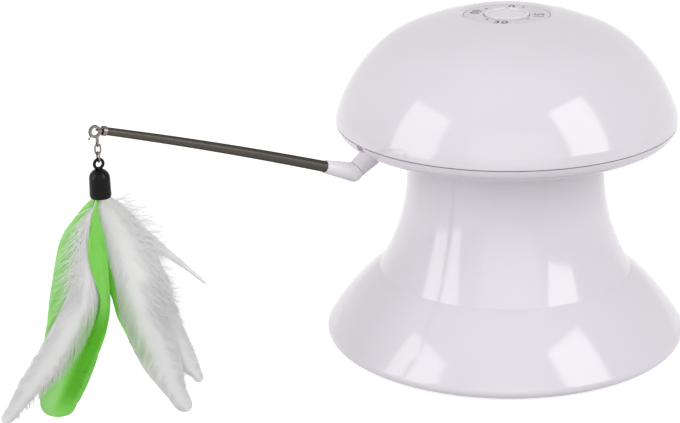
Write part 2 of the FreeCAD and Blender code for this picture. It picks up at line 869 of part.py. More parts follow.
def drive_motor():
    """Small can motor with two flats, an end cap and a front boss, hung under the gear plate."""
    top = spot("motor_spot_x", "motor_spot_y", "gear_plate_height - motor_length")
    can = rod("motor_can", "motor_radius", "motor_length", spot())
    flats = brick("motor_flats", "2*motor_radius", "2*motor_flat", "motor_length", spot())
    body = common("motor_body", can, flats)
    boss = rod("motor_boss", "motor_boss_radius", "motor_boss_height", spot(z="motor_length"))
    cap = rod("motor_cap", "motor_boss_radius*1.4", "motor_cap_height", spot(z="-motor_cap_height"))
    bore = rod("motor_bore", "shaft_radius + running_gap", "motor_length + motor_boss_height", spot())
    taps = []
    for i, place_text in enumerate(around(2, "90", "motor_screw_circle")):
        up = f"{place_text} * {spot(z='motor_length - screw_length/2')}"
        taps.append(rod(f"motor_tap_{i}", "screw_radius", "screw_length/2", up))
    turn = spot(angle="motor_azimuth")
    keep("drive_motor", cut("motor", join("motor_parts", [body, boss, cap]), [bore, *taps], top, turn))


def motor_screws():
    """Two short screws that hold the motor, heads on the gear plate's upper face."""
    screws = []
    centre = spot("motor_spot_x", "motor_spot_y", "gear_plate_top")
    for i, place_text in enumerate(around(2, "motor_azimuth + 90", "motor_screw_circle")):
        over = f"{centre} * {place_text} * {spot(axis=ALONG, angle=180)}"
        screws.append(screw(f"motor_screw_{i}", "gear_plate_wall + screw_length/3", over))
    keep("motor_screws", group("motor_screw_set", screws))


def motor_pinion():
    """The motor's shaft and the small pinion on it."""
    centre = spot("motor_spot_x", "motor_spot_y")
    gap_phase = value("motor_azimuth") + 180 + 180 / value("pinion_teeth")
    low, tall = "wheel_bottom - gear_overlap", "wheel_height + gear_overlap"
    toothed = gear("pinion_teeth", "fast_module", gap_phase, low, tall)
    bore = Part.makeCylinder(value("shaft_radius"), value("neck_top"))
    keep("motor_pinion", solid("pinion", toothed.cut(bore), centre))
    foot = "gear_plate_height - motor_length + 1"
    reach = f"wheel_top + gear_overlap/2 - ({foot})"
    keep("motor_shaft", rod("shaft", "shaft_radius", reach, f"{centre} * {spot(z=foot)}"))


def compound_gear():
    """Wheel driven by the motor's pinion, with the smaller pinion that drives the spindle gear."""
    centre = spot("compound_spot_x", "compound_spot_y")
    wheel = gear("wheel_teeth", "fast_module", value("motor_azimuth"), "wheel_bottom", "wheel_height")
    gap_phase = value("compound_azimuth") + 180 + 180 / value("compound_teeth")
    low = "spindle_gear_bottom - gear_overlap"
    small = gear("compound_teeth", "slow_module", gap_phase, low, "spindle_gear_height + 2*gear_overlap")
    collar_radius = "slow_module*(compound_teeth/2 - tooth_dedendum)"
    collar_foot = "gear_plate_top + gear_lift"
    collar = Part.makeCylinder(
        value(collar_radius),
        value(f"spindle_gear_top - ({collar_foot})"),
        V(0, 0, value(collar_foot)),
    )
    bore = Part.makeCylinder(value("axle_radius + running_gap"), value("neck_top"))
    keep("compound_gear", solid("compound", wheel.fuse([small, collar]).removeSplitter().cut(bore), centre))
    pin = spot("compound_spot_x", "compound_spot_y", "gear_plate_height")
    keep("compound_axle", rod("axle", "axle_radius", "axle_top - gear_plate_height", pin))


def spindle_gear():
    """Large gear fixed on the lower end of the head's spindle, held by a spring clip."""
    phase, low, tall = value("compound_azimuth"), "spindle_gear_bottom", "spindle_gear_height"
    toothed = gear("spindle_teeth", "slow_module", phase, low, tall)
    bore = Part.makeCylinder(value("spindle_radius"), value("neck_top"))
    keep("spindle_gear", solid("main_gear", toothed.cut(bore)))
    ring = rod("clip_ring", "clip_radius", "clip_wall", spot(z="clip_height"))
    hole = rod("clip_hole", "spindle_radius - clip_groove", "clip_wall", spot(z="clip_height"))
    side = spot(x="clip_radius", z="clip_height")
    mouth = brick("clip_mouth", "clip_radius", "spindle_radius", "clip_wall", side)
    keep("spindle_clip", cut("clip", ring, [hole, mouth]))


def slip_rings():
    """Insulating drum on the spindle with three brass rings, and the brushes fixed under the deck."""
    drum = turned(
        "drum",
        [
            ("spindle_radius", "drum_bottom"),
            ("spindle_radius + drum_wall", "drum_bottom"),
            ("spindle_radius + drum_wall", "drum_bottom + drum_length"),
            ("spindle_radius", "drum_bottom + drum_length"),
        ],
    )
    keep("slip_ring_drum", drum)
    rings = []
    brushes = []
    facing = spot(angle="brush_azimuth")
    for i in range(3):
        level = f"drum_bottom + slip_ring_first + slip_ring_pitch*{i}"
        outer = rod(f"ring_{i}", "slip_ring_outer", "slip_ring_height", spot(z=level))
        hole = rod(f"ring_hole_{i}", "spindle_radius + drum_wall", "slip_ring_height", spot(z=level))
        rings.append(cut(f"slip_ring_{i}", outer, [hole]))
        middle = spot("slip_ring_outer + brush_gap + brush_length/2", 0, f"{level} + slip_ring_height/4")
        size = ("brush_length", "brush_wall*4", "slip_ring_height/2")
        brushes.append(brick(f"brush_{i}", *size, facing, middle))
    keep("slip_rings", group("ring_set", rings))
    keep("brush_contacts", group("brush_set", brushes))
    foot = "drum_bottom + slip_ring_first - slip_ring_height/2"
    block = brick(
        "brush_carrier",
        "brush_block_depth",
        "brush_block_width",
        f"deck_bottom - ({foot})",
        facing,
        spot("slip_ring_outer + brush_gap + brush_length + brush_block_depth/2", 0, foot),
    )
    keep("brush_block", block)


# Head --------------------------------------------------------------------------------------------


def head_pan():
    """Lower shell of the head: spindle, floor, rim with its lip, arm socket, laser nose, seats."""
    outside = turned(
        "pan_outside",
        [
            ("spindle_bore", "spindle_bottom"),
            ("spindle_radius", "spindle_bottom"),
            ("spindle_radius", "clip_height"),
            ("spindle_radius - clip_groove", "clip_height"),
            ("spindle_radius - clip_groove", "clip_height + clip_wall"),
            ("spindle_radius", "clip_height + clip_wall"),
            ("spindle_radius", "pan_under"),
            ("pan_flat", "pan_under", "pan_curve", 1),
            (
                "pan_edge_centre + pan_edge_round*cos(pan_turn)",
                "head_equator - pan_edge_round*sin(pan_turn)",
                "pan_edge_round",
                1,
            ),
            ("pan_edge_centre + sqrt(pan_edge_round^2 - (head_equator - pan_rim)^2)", "pan_rim"),
            ("lip_outer", "pan_rim"),
            ("lip_outer", "pan_rim + lip_rise"),
            ("lip_inner", "pan_rim + lip_rise"),
            (
                "lip_inner",
                "pan_curve_centre - sqrt((pan_curve - head_wall)^2 - (lip_inner - pan_flat)^2)",
                "pan_curve - head_wall",
                -1,
            ),
            ("pan_flat", "pan_floor"),
            ("spindle_bore", "pan_floor"),
        ],
    )
    inward = spot("socket_reach", 0, "socket_level", ACROSS, "socket_tilt - 90")
    flared = "socket_radius + socket_flare"
    added = [cone("socket_tube", "socket_radius", flared, "socket_length", ARM, inward)]
    removed = [rod("socket_bore", "spigot_radius + spigot_gap", "spigot_length + joint_gap", ARM, inward)]
    notch = spot("head_radius - notch_depth/2", 0, "pan_rim - notch_drop")
    removed.append(brick("rim_notch", "notch_depth", "notch_width", "notch_drop", ARM, notch))
    nose = spot("laser_reach", 0, "laser_level", ACROSS, "laser_tilt - 90")
    added.append(rod("nose_tube", "nose_radius", "barrel_setback + barrel_length/2", LASER, nose))
    depth = "barrel_setback + barrel_length*1.5"
    removed.append(rod("nose_bore", "barrel_radius + barrel_slack", depth, LASER, nose))
    for i, place_text in enumerate(around(4, "arm_azimuth + 45", "head_post_circle")):
        low = f"{place_text} * {spot(z='pan_under')}"
        added.append(rod(f"seat_{i}", "head_seat_radius", "head_seat_height - pan_under", low))
        removed.append(rod(f"seat_hole_{i}", "screw_radius + screw_slack*4", "head_seat_height", low))
        sink = f"{place_text} * {spot(z='pan_under - head_wall')}"
        depth = "head_seat_height - head_seat_wall - pan_under + head_wall"
        removed.append(rod(f"seat_sink_{i}", "screw_head_radius + 0.4", depth, sink))
    for i, (x, y) in enumerate(BOARD_CORNERS):
        foot = spot(x, y, "pan_under + head_wall/2")
        tall = "board_height - pan_under - head_wall/2"
        added.append(rod(f"standoff_{i}", "standoff_radius", tall, foot))
        pilot = spot(x, y, "board_height - screw_length*0.8")
        removed.append(rod(f"standoff_pilot_{i}", "screw_radius", "screw_length", pilot))
    return keep("head_pan", cut("pan", join("pan_body", [outside, *added]), removed))


BOARD_CORNERS = [
    (f"{side}*(board_length/2 - board_inset)", f"{end}*(board_width/2 - board_inset)")
    for side in (-1, 1)
    for end in (-1, 1)
]


def dome_outline(offset, rim):
    """The dome's outer or inner half outline, up to the dial's well."""
    inset = f"({offset})"
    well = "dial_rim" if offset == "0" else "(dial_well + head_wall)"
    return [
        ("0", rim),
        (f"head_radius - {inset}", rim),
        (f"head_radius - {inset}", "head_equator", f"hip_round - {inset}", 1),
        (
            f"hip_centre + (hip_round - {inset})*cos(hip_angle)",
            f"head_equator + (hip_round - {inset})*sin(hip_angle)",
            f"flank_curve - {inset}",
            1,
        ),
        (
            f"flank_centre + (flank_curve - {inset})*cos(flank_angle)",
            f"flank_level + (flank_curve - {inset})*sin(flank_angle)",
            f"shoulder_curve - {inset}",
            1,
        ),
        (
            f"shoulder_centre + (shoulder_curve - {inset})*cos(crown_angle)",
            f"shoulder_level + (shoulder_curve - {inset})*sin(crown_angle)",
            f"crown_curve - {inset}",
            1,
        ),
        (well, f"crown_level + sqrt((crown_curve - {inset})^2 - {well}^2)"),
    ]


def dome_cover():
    """Upper shell of the head, with four screw posts and the well that the dial plate lies in."""
    well = [("dial_well", "dial_top"), ("dial_well", "dial_seat"), ("0", "dial_seat")]
    outside = turned("dome_outside", [*dome_outline("0", "dome_rim"), *well])
    under = [("dial_well + head_wall", "dial_under"), ("0", "dial_under")]
    cavity = turned("dome_cavity", [*dome_outline("head_wall", "pan_rim"), *under])
    posts = []
    below = spot(z="dial_under - dial_wall")
    holes = [rod("stem_hole", "stem_radius + running_gap*3", "dial_wall*4", below)]
    for i, place_text in enumerate(around(4, "arm_azimuth + 45", "head_post_circle")):
        up = f"{place_text} * {spot(z='head_seat_height')}"
        posts.append(rod(f"dome_post_{i}", "head_post_radius", "crown_rise", up))
        holes.append(rod(f"dome_pilot_{i}", "screw_radius + screw_slack", "screw_length", up))
    inside = cut("dome_inside", cavity, posts)
    return keep("dome_cover", cut("dome", outside, [inside, *holes]))


def head_screws():
    screws = []
    for i, place_text in enumerate(around(4, "arm_azimuth + 45", "head_post_circle")):
        seat = spot(z="head_seat_height - head_seat_wall")
        screws.append(screw(f"head_screw_{i}", "screw_length", f"{place_text} * {seat}"))
    keep("head_screws", group("head_screw_set", screws))


def dial_plate():
    """Flush disc with the dial's marks; the knob turns in its hole."""
    plate = turned(
        "dial_disc",
        [
            ("knob_radius + knob_gap", "dial_seat"),
            ("dial_radius", "dial_seat"),
            ("dial_radius", "dial_top - knob_gap/2"),
            ("dial_radius - knob_gap/2", "dial_top"),
            ("knob_radius + knob_gap", "dial_top"),
        ],
    )
    return keep("dial_plate", plate)


def dial_knob():
    """Low dished knob with a raised rim, a notch as its pointer, and a stem into the switch."""
    top = "dial_top + knob_rise"
    round_size = "knob_rim/2"
    knob = turned(
        "knob_disc",
        [
            ("0", "dial_under - switch_height + 1"),
            ("stem_tip_radius", "dial_under - switch_height + 1"),
            ("stem_tip_radius", "dial_under + running_gap"),
            ("stem_radius", "dial_under + running_gap"),
            ("stem_radius", "knob_bottom"),
            ("knob_radius", "knob_bottom"),
            ("knob_radius", f"{top} - {round_size}", round_size, 1),
            (f"knob_radius - {round_size}", top, round_size, 1),
            (f"knob_radius - 2*({round_size})", f"{top} - {round_size}"),
            (f"knob_radius - 2*({round_size})", f"{top} - knob_dish"),
            ("0", f"{top} - knob_dish"),
        ],
    )
    at_rim = spot(0, "knob_radius", f"{top} - knob_dish")
    notch = brick("knob_notch", "knob_notch", "knob_rim*2", "knob_dish", at_rim)
    return keep("dial_knob", cut("knob", knob, [notch]))


def mode_switch():
    """Rotary switch under the dial's floor, bored for the knob's stem."""
    low = spot(z="dial_under - switch_height")
    case = brick("switch_case", "switch_width", "switch_width", "switch_height", low)
    bore = rod("switch_bore", "stem_tip_radius + running_gap", "switch_height", low)
    pins = []
    for i in range(3):
        foot = spot(f"{i - 1}*3.5", "switch_width/4", "dial_under - switch_height - 3")
        pins.append(brick(f"switch_pin_{i}", "1", "0.5", "3", foot))
    return keep("mode_switch", cut("switch", join("switch_parts", [case, *pins]), [bore]))


def control_board():
    """Circuit board on four standoffs, slotted for the wires, with its larger parts."""
    foot = spot(z="board_height")
    sheet_board = brick("board_sheet", "board_length", "board_width", "board_wall", foot)
    holes = [rod("board_slot", "board_slot_radius", "board_wall", foot)]
    for i, (x, y) in enumerate(BOARD_CORNERS):
        corner = spot(x, y, "board_height")
        holes.append(rod(f"board_hole_{i}", "screw_radius + screw_slack*4", "board_wall", corner))
    keep("control_board", cut("board", sheet_board, holes))
    top = "board_height + board_wall"
    chip = brick("board_chip", "10", "7", "1.8", spot("board_length/4", 0, top))
    can = rod("board_can", "4", "11", spot("-board_length/3", 0, top))
    plug = brick("board_plug", "10", "6", "6", spot(0, "board_width/3", top))
    keep("board_components", group("board_component_set", [chip, can, plug]))
    screws = []
    for i, (x, y) in enumerate(BOARD_CORNERS):
        over = spot(x, y, top, ALONG, 180)
        screws.append(screw(f"board_screw_{i}", "board_wall + screw_length*0.6", over))
    keep("board_screws", group("board_screw_set", screws))


def laser_unit():
    """Brass laser barrel in the pan's nose, its lens, the clear window and a saddle under its tail."""
    inward = spot("laser_reach", 0, "laser_level", ACROSS, "laser_tilt - 90")
    back = spot(z="barrel_setback")
    barrel = rod("barrel", "barrel_radius", "barrel_length", LASER, inward, back)
    pocket = rod("barrel_pocket", "lens_radius", "lens_wall", LASER, inward, back)
    keep("laser_module", cut("laser_barrel", barrel, [pocket]))
    keep("laser_lens", rod("lens", "lens_radius", "lens_wall", LASER, inward, back))
    seat = spot(z="window_wall")
    window = rod("window", "barrel_radius + barrel_slack", "window_wall", LASER, inward, seat)
    keep("laser_window", window)
    tail = "laser_reach - (barrel_setback + barrel_length*0.8)*cos(laser_tilt)"
    block = brick(
        "saddle_block",
        "saddle_length",
        "saddle_width",
        "laser_level + (barrel_setback + barrel_length*0.8)*sin(laser_tilt) - pan_floor",
        LASER,
        spot(f"{tail} - saddle_length/2", 0, "pan_floor"),
    )
    groove = rod("saddle_groove", "barrel_radius", "barrel_setback + barrel_length*2", LASER, inward)
    keep("laser_holder", cut("saddle", block, [groove, doc.getObject("pan_outside")]))


# Arm ---------------------------------------------------------------------------------------------


def arm_elbow():
    """Elbow: a spigot in the socket, a round corner with a flat face, and a tapered arm for the wand."""
    along_socket = spot("socket_reach", 0, "socket_level", ACROSS, "90 + socket_tilt")
    leg = rod("elbow_leg", "socket_radius", "elbow_leg", along_socket)
    back = spot(z="joint_gap - socket_length")
    behind = rod("elbow_face", "2*socket_radius", "socket_length", along_socket, back)
    sunk = spot(z="joint_gap - spigot_length")
    spigot = rod("elbow_spigot", "spigot_radius", "spigot_length", along_socket, sunk)
    corner = ball("elbow_corner", "elbow_ball", spot("elbow_reach", 0, "elbow_level"))
    along_wand = spot("elbow_reach", 0, "elbow_level", ACROSS, "90 - wand_rise")
    arm = cone("elbow_arm", "elbow_ball", "elbow_tip_radius", "elbow_arm", along_wand)
    depth = spot(z="elbow_arm - wand_insert")
    bore = rod("wand_bore", "wand_root_radius", "wand_insert", along_wand, depth)
    outside = cut("elbow_outside", join("elbow_shape", [leg, corner, arm]), [behind])
    return keep("arm_elbow", cut("elbow", join("elbow_body", [outside, spigot]), [bore], ARM))


def wand_rod():
    """Close-wound spring rod: straight in the elbow, then one long tapered arc."""
    rise = math.radians(value("wand_rise"))
    end_slope = math.radians(value("wand_end_slope"))
    curve = value("wand_curve")
    root = V(value("wand_reach"), 0, value("wand_level"))
    centre = root + V(math.sin(rise), 0, -math.cos(rise)) * curve

    def at(slope):
        return centre + V(-math.sin(slope), 0, math.cos(slope)) * curve

    path = Part.Wire(Part.Arc(root, at((rise + end_slope) / 2), at(end_slope)).toShape())
    ends = []
    for slope, radius in ((rise, "wand_root_radius"), (end_slope, "wand_tip_radius")):
        way = V(math.cos(slope), 0, math.sin(slope))
        ends.append(Part.Wire(Part.Circle(at(slope), way, value(radius)).toShape()))
    blade = path.makePipeShell(ends, True, False)
    way = V(math.cos(rise), 0, math.sin(rise))
    depth = value("wand_insert")
    insert = Part.makeCylinder(value("wand_root_radius"), depth, root - way * depth, way)
    keep("wand_rod", solid("wand", blade.fuse(insert), ARM))


def wand_tip():
    """Ferrule on the rod's end and the wire eye that the clasp hooks into."""
    along = spot("tip_reach", 0, "tip_level", ACROSS, "90 - wand_end_slope")
    sleeve = rod("ferrule", "ferrule_radius", "ferrule_length", along, spot(z="-ferrule_lap"))
    bore = rod("ferrule_bore", "wand_tip_radius*1.01", "ferrule_lap", along, spot(z="-ferrule_lap"))
    beyond = spot("eye_reach", 0, "eye_level", ACROSS, "-wand_end_slope")
    eye = hoop("eye", "eye_radius", "eye_wire", beyond)
    return keep("wand_tip", join("tip", [cut("ferrule_body", sleeve, [bore]), eye], ARM))


def ring_sector(inner, outer, first, last, wall):
    """A ring sector in the XZ plane between two angles counted from +X up towards +Z."""
    points = []
    for radius, angle in ((inner, first), (outer, first), (outer, last), (inner, last)):
        points.append(V(radius * math.cos(angle), -wall / 2, radius * math.sin(angle)))
    middle = (first + last) / 2
    far = V(outer * math.cos(middle), -wall / 2, outer * math.sin(middle))
    near = V(inner * math.cos(middle), -wall / 2, inner * math.sin(middle))
    edges = [
        Part.LineSegment(points[0], points[1]).toShape(),
        Part.Arc(points[1], far, points[2]).toShape(),
        Part.LineSegment(points[2], points[3]).toShape(),
        Part.Arc(points[3], near, points[0]).toShape(),
    ]
    return Part.Face(Part.Wire(edges)).extrude(V(0, wall, 0))


def disc_at(point, radius, width):
    """A short cylinder across the clasp, centred on a point of its XZ plane."""
    return Part.makeCylinder(radius, width, point - V(0, width / 2, 0), V(0, 1, 0))


def clasp():
    """Lobster clasp: a hook with a neck, a bail and a forked knuckle, and the lever pinned in the fork."""
    centre = spot("clasp_reach", 0, "clasp_level")
    inner, outer, wall = value("clasp_inner"), value("clasp_outer"), value("clasp_wall")
    first, last = math.radians(value("lever_start")), math.radians(value("lever_end"))
    middle = (inner + outer) / 2
    pivot = V(middle * math.cos(first), 0, middle * math.sin(first))
    nose = (V(outer * math.cos(last), 0, outer * math.sin(last)) - pivot).Length
    knuckle, clear = value("knuckle_radius"), value("knuckle_radius + knuckle_gap")
    tongue, pin = value("lever_tongue"), value("lever_pin")

    hook = ring_sector(inner, outer, last, first + 2 * math.pi, wall)
    above = Part.makeBox(4 * outer, 4 * outer, 4 * outer, V(-2 * outer, -2 * outer, 0))
    hook = hook.cut(disc_at(pivot, nose + value("lever_nose_gap"), 2 * wall).common(above))
    foot = V(-value("clasp_offset"), 0, value("bail_centre - clasp_level") + value("bail_radius"))
    knee = V(-value("clasp_offset"), 0, -middle)
    neck = Part.makeCylinder(value("clasp_neck"), (knee - foot).Length, foot, knee - foot)
    fork = disc_at(pivot, knuckle, wall)
    slot = disc_at(pivot, clear, tongue + 2 * value("tongue_slack"))
    body = hook.fuse([neck, fork]).cut(slot).fuse(disc_at(pivot, pin, wall)).removeSplitter()
    bail = hoop("bail", "bail_radius", "link_wire", spot("hang_reach", 0, "bail_centre", ACROSS, 90))
    keep("clasp_body", join("clasp_hook", [solid("clasp_ring", body, centre), bail], ARM))

    gate = ring_sector(inner, outer, first, last + (last - first) / 4, wall)
    gate = gate.common(disc_at(pivot, nose, 2 * wall)).cut(disc_at(pivot, clear, 2 * wall))
    root = ring_sector(inner, outer, first, first + math.radians(30), tongue)
    heel = disc_at(pivot, (outer - inner) / 2, tongue)
    turn = math.radians(value("lever_tail_angle"))
    way = V(math.cos(turn), 0, math.sin(turn))
    tail = Part.makeCylinder(tongue / 2, value("lever_tail"), pivot, way)
    knob = Part.makeSphere(value("lever_tail_ball"), pivot + way * value("lever_tail"))
    lever = gate.fuse([root, heel, tail, knob]).cut(disc_at(pivot, pin + value("lever_pin_slack"), wall))
    keep("clasp_lever", solid("lever", lever.removeSplitter(), ARM, centre))


def link_shape():
    """One oval link in the XZ plane, its top wire at the origin and its foot below."""
    half, height = value("link_half_width"), value("link_height")
    top, low = -half, half - height
    corners = [V(half, 0, top), V(-half, 0, top), V(-half, 0, low), V(half, 0, low)]
    path = Part.Wire(
        [
            Part.Arc(corners[0], V(0, 0, 0), corners[1]).toShape(),
            Part.LineSegment(corners[1], corners[2]).toShape(),
            Part.Arc(corners[2], V(0, 0, -height), corners[3]).toShape(),
            Part.LineSegment(corners[3], corners[0]).toShape(),
        ]
    )
    section = Part.Wire(Part.Circle(corners[0], V(0, 0, 1), value("link_wire")).toShape())
    return path.makePipeShell([section], True, False)


def links():
    straight = spot("hang_reach", 0, "upper_link_top")
    keep("chain_link_upper", solid("upper_link", link_shape(), ARM, straight))
    turn = spot("hang_reach", 0, "lower_link_top", angle=90)
    keep("chain_link_lower", solid("lower_link", link_shape(), ARM, turn))


def feather_cap():
    """Soft black cap with a moulded eyelet, hollow below, and the glue plug that holds the quills."""
    at_axis = spot(x="hang_reach")
    bell = turned(
        "cap_bell",
        [
            ("0", "cap_bottom + cap_mouth"),
            ("cap_radius - cap_wall", "cap_bottom + cap_mouth"),
            ("cap_radius - cap_wall", "cap_bottom"),
            ("cap_radius - 0.2", "cap_bottom"),
            ("cap_radius + cap_flare", "cap_bottom + 0.9"),
            ("cap_radius", "cap_bottom + cap_mouth*0.6"),
            ("cap_shoulder", "cap_top - cap_shoulder", "cap_shoulder", 1),
            ("0", "cap_top"),
        ],
        at_axis,
    )
    half_ring = "(eyelet_outer + eyelet_hole)/2"
    eyelet = hoop(
        "eyelet",
        half_ring,
        "(eyelet_outer - eyelet_hole)/2",
        spot("hang_reach", 0, "eyelet_level", ALONG, 90),
    )
    keep("feather_cap", join("cap_parts", [bell, eyelet], ARM))
    plug = rod("plug", "cap_radius - cap_wall", "plug_height", ARM, spot("hang_reach", 0, "plug_bottom"))
    keep("glue_plug", plug)


# Each feather's stations from quill to tip, as (across, height, half width), and its layer, with the
# first in front. Across is level in the fan's plane and height is from the floor.
FEATHERS = {
    "green_feather_centre": (
        2.4,
        [(-2.1, 97.3, 0.6), (-2.6, 90.3, 1.9), (-2.7, 83.2, 3.3), (-2.6, 76.8, 3.8), (-2.1, 70.7, 3.4)],
        [(-1.2, 63.5, 2.5), (-0.6, 56.6, 1.9), (-1.8, 50.1, 2.3), (-4.5, 42.3, 3.0), (-8.0, 34.8, 3.3)],
        (-12.6, 26.0),
    ),
    "white_feather_left": (
        1.4,
        [(-2.7, 96.8, 0.6), (-5.4, 90.0, 1.2), (-6.9, 83.0, 1.8), (-7.6, 76.0, 2.6), (-7.9, 68.6, 4.0)],
        [(-9.0, 60.4, 6.0), (-13.9, 47.8, 7.6), (-22.6, 33.6, 7.6), (-32.0, 22.3, 6.2), (-40.5, 11.2, 3.6)],
        (-44.6, 6.6),
    ),
    "green_feather_outer": (
        0.4,
        [(-4.3, 96.6, 2.2), (-7.5, 89.7, 4.4), (-9.9, 82.9, 6.8), (-11.2, 72.5, 8.7), (-11.9, 60.0, 10.6)],
        [(-13.2, 46.5, 11.6), (-16.2, 34.2, 11.1), (-19.6, 23.6, 9.9), (-21.9, 15.6, 7.8), (-22.9, 11, 5.2)],
        (-22.8, 7.4),
    ),
    "white_feather_right": (
        -0.6,
        [(1.6, 97.8, 2.6), (4.0, 92.0, 5.2), (7.0, 85.0, 7.6), (9.9, 76.5, 8.8), (12.0, 67.0, 9.3)],
        [(13.4, 56.0, 9.8), (15.9, 44.6, 9.9), (19.2, 34.2, 9.4), (22.4, 24.6, 8.0), (26.6, 12.6, 4.4)],
        (30.6, 5.0),
    ),
    "white_feather_back": (
        -1.6,
        [(3.6, 97.4, 2.4), (8.6, 89.6, 4.8), (13.6, 80.4, 5.8), (17.4, 70.6, 6.0), (20.0, 61.0, 5.6)],
        [(22.4, 51.2, 5.4), (25.8, 39.6, 5.8), (29.2, 31.0, 5.6), (32.4, 24.2, 4.4), (34.8, 20.2, 2.6)],
        (36.0, 17.2),
    ),
    "white_feather_spike": (
        -2.6,
        [(1.9, 98.2, 1.1), (7.6, 92.2, 2.4), (13.4, 84.6, 3.2), (18.6, 79.0, 3.4), (23.2, 75.4, 2.9)],
        [(26.6, 72.6, 1.8), (30.3, 69.3, 1.4), (34.4, 65.4, 0.9)],
        (40.1, 59.8),
    ),
}


def blade(layer, upper, lower, tip):
    """One feather as a thin closed blade that leaves the plug straight down and swells and tapers."""
    top, quill = value("plug_bottom"), value("quill_half")
    root = max(-1.6, min(1.6, upper[0][0] * 0.5))
    stations = [(root, top, quill), (root, value("cap_bottom"), quill), *upper, *lower]
    edges = {1: [], -1: []}
    for i, (across, height, half) in enumerate(stations):
        before = stations[max(i - 1, 0)]
        after = (stations + [tip])[i + 1]
        way = V(after[0] - before[0], 0, after[1] - before[1]).normalize()
        if i < 2:
            way = V(0, 0, -1)
        side = V(-way.z, 0, way.x)
        for hand in (1, -1):
            edges[hand].append(V(across, 0, height) + side * (half * hand))
    curves = []
    for hand in (1, -1):
        spline = Part.BSplineCurve()
        spline.interpolate([*edges[hand], V(tip[0], 0, tip[1])])
        curves.append(spline.toShape())
    quill_end = Part.LineSegment(edges[-1][0], edges[1][0]).toShape()
    face = Part.Face(Part.Wire([quill_end, curves[0], curves[1]]))
    wall = value("blade_wall")
    face.translate(V(0, -wall / 2 - layer * value("layer_pitch"), 0))
    return face.extrude(V(0, wall, 0))


def feathers():
    turn = spot(x="hang_reach", angle="fan_azimuth - arm_azimuth")
    for name, outline in FEATHERS.items():
        keep(name, solid(name + "_blade", blade(*outline), ARM, turn))


# Build, check and write --------------------------------------------------------------------------


def check():
    """Stop if an object failed, or a piece is empty or not sound."""
    for thing in doc.Objects:
        if {"Invalid", "Error"} & set(thing.State):
            raise RuntimeError(f"{thing.Name} did not compute: {thing.State}")
    for label, thing in PARTS.items():
        if thing.Shape.isNull() or not thing.Shape.isValid() or not thing.Shape.Solids:
            raise RuntimeError(f"{label} is not a sound solid")


base_shell()
spindle_bushing()
bottom_plate()
battery_door()
feet()
base_screws()
battery_cells()
battery_contacts()
gear_plate()
gear_plate_screws()
drive_motor()
motor_screws()
motor_pinion()
compound_gear()
spindle_gear()
slip_rings()
head_pan()
dome_cover()
head_screws()
dial_plate()
dial_knob()
mode_switch()
control_board()
laser_unit()
arm_elbow()
wand_rod()
wand_tip()
clasp()
links()
feather_cap()
feathers()
doc.recompute()
check()

os.makedirs("parts", exist_ok=True)
for label, thing in PARTS.items():
    thing.Shape.exportStep(os.path.join("parts", label + ".step"))
    print(f"{label}: {len(thing.Shape.Solids)} solid(s), {thing.Shape.Volume:.1f} mm3")
print(len(PARTS), "pieces")
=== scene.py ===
# %% [markdown]
# # An automatic cat laser toy
# The toy is a glossy trumpet base under a turning mushroom head, with a spring wand that carries a clasp,
# two links, a rubber cap and a bunch of feathers. The engineering model already holds every hard piece at its
# true size. This lesson dresses it: each moulded or turned piece gets the finish of its real material, the
# wand and the feathers are modelled again in the detail that the eye expects, and the dial gets its marks.

import bpy
import json
import math
import random
from mathutils import Matrix, Vector, noise


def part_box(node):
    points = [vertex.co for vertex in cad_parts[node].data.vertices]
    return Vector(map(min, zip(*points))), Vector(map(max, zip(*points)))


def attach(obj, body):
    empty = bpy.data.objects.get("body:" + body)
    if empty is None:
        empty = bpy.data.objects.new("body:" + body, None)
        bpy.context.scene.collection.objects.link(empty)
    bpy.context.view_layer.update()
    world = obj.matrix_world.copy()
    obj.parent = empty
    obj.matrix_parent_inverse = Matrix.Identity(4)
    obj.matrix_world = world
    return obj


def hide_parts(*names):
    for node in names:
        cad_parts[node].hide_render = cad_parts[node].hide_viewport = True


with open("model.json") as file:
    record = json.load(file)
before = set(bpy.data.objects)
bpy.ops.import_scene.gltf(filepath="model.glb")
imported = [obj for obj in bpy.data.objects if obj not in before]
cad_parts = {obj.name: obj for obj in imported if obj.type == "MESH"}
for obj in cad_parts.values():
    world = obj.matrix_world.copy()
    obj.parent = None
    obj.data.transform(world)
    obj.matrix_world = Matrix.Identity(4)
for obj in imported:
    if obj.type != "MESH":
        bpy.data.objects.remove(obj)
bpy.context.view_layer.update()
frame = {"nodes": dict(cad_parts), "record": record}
print("pieces in the frame:", len(frame["nodes"]))

# %% [markdown]
# ## Working in millimetres
# Small products are drawn in millimetres, and Blender measures in metres. One constant turns one into the
# other, so every size below can be read against a ruler.

# %% Units and selection
MM = 0.001


def alone(piece):
    """Selects one piece and makes it active; operators act on all that is selected."""
    bpy.ops.object.select_all(action="DESELECT")
    piece.select_set(True)
    bpy.context.view_layer.objects.active = piece


bpy.ops.object.select_all(action="DESELECT")
print("a metre holds", round(1 / MM), "mm")

# %% [markdown]
# ## The camera
# A product photographer stands back and uses a long lens, so that the round head and base keep their true
# proportions. This camera stands 0.85 m in front of the toy, looks down by about 20 degrees and has a 107 mm
# lens. Its three axes are written out, because it is also turned by 5 degrees and tilted by 1.

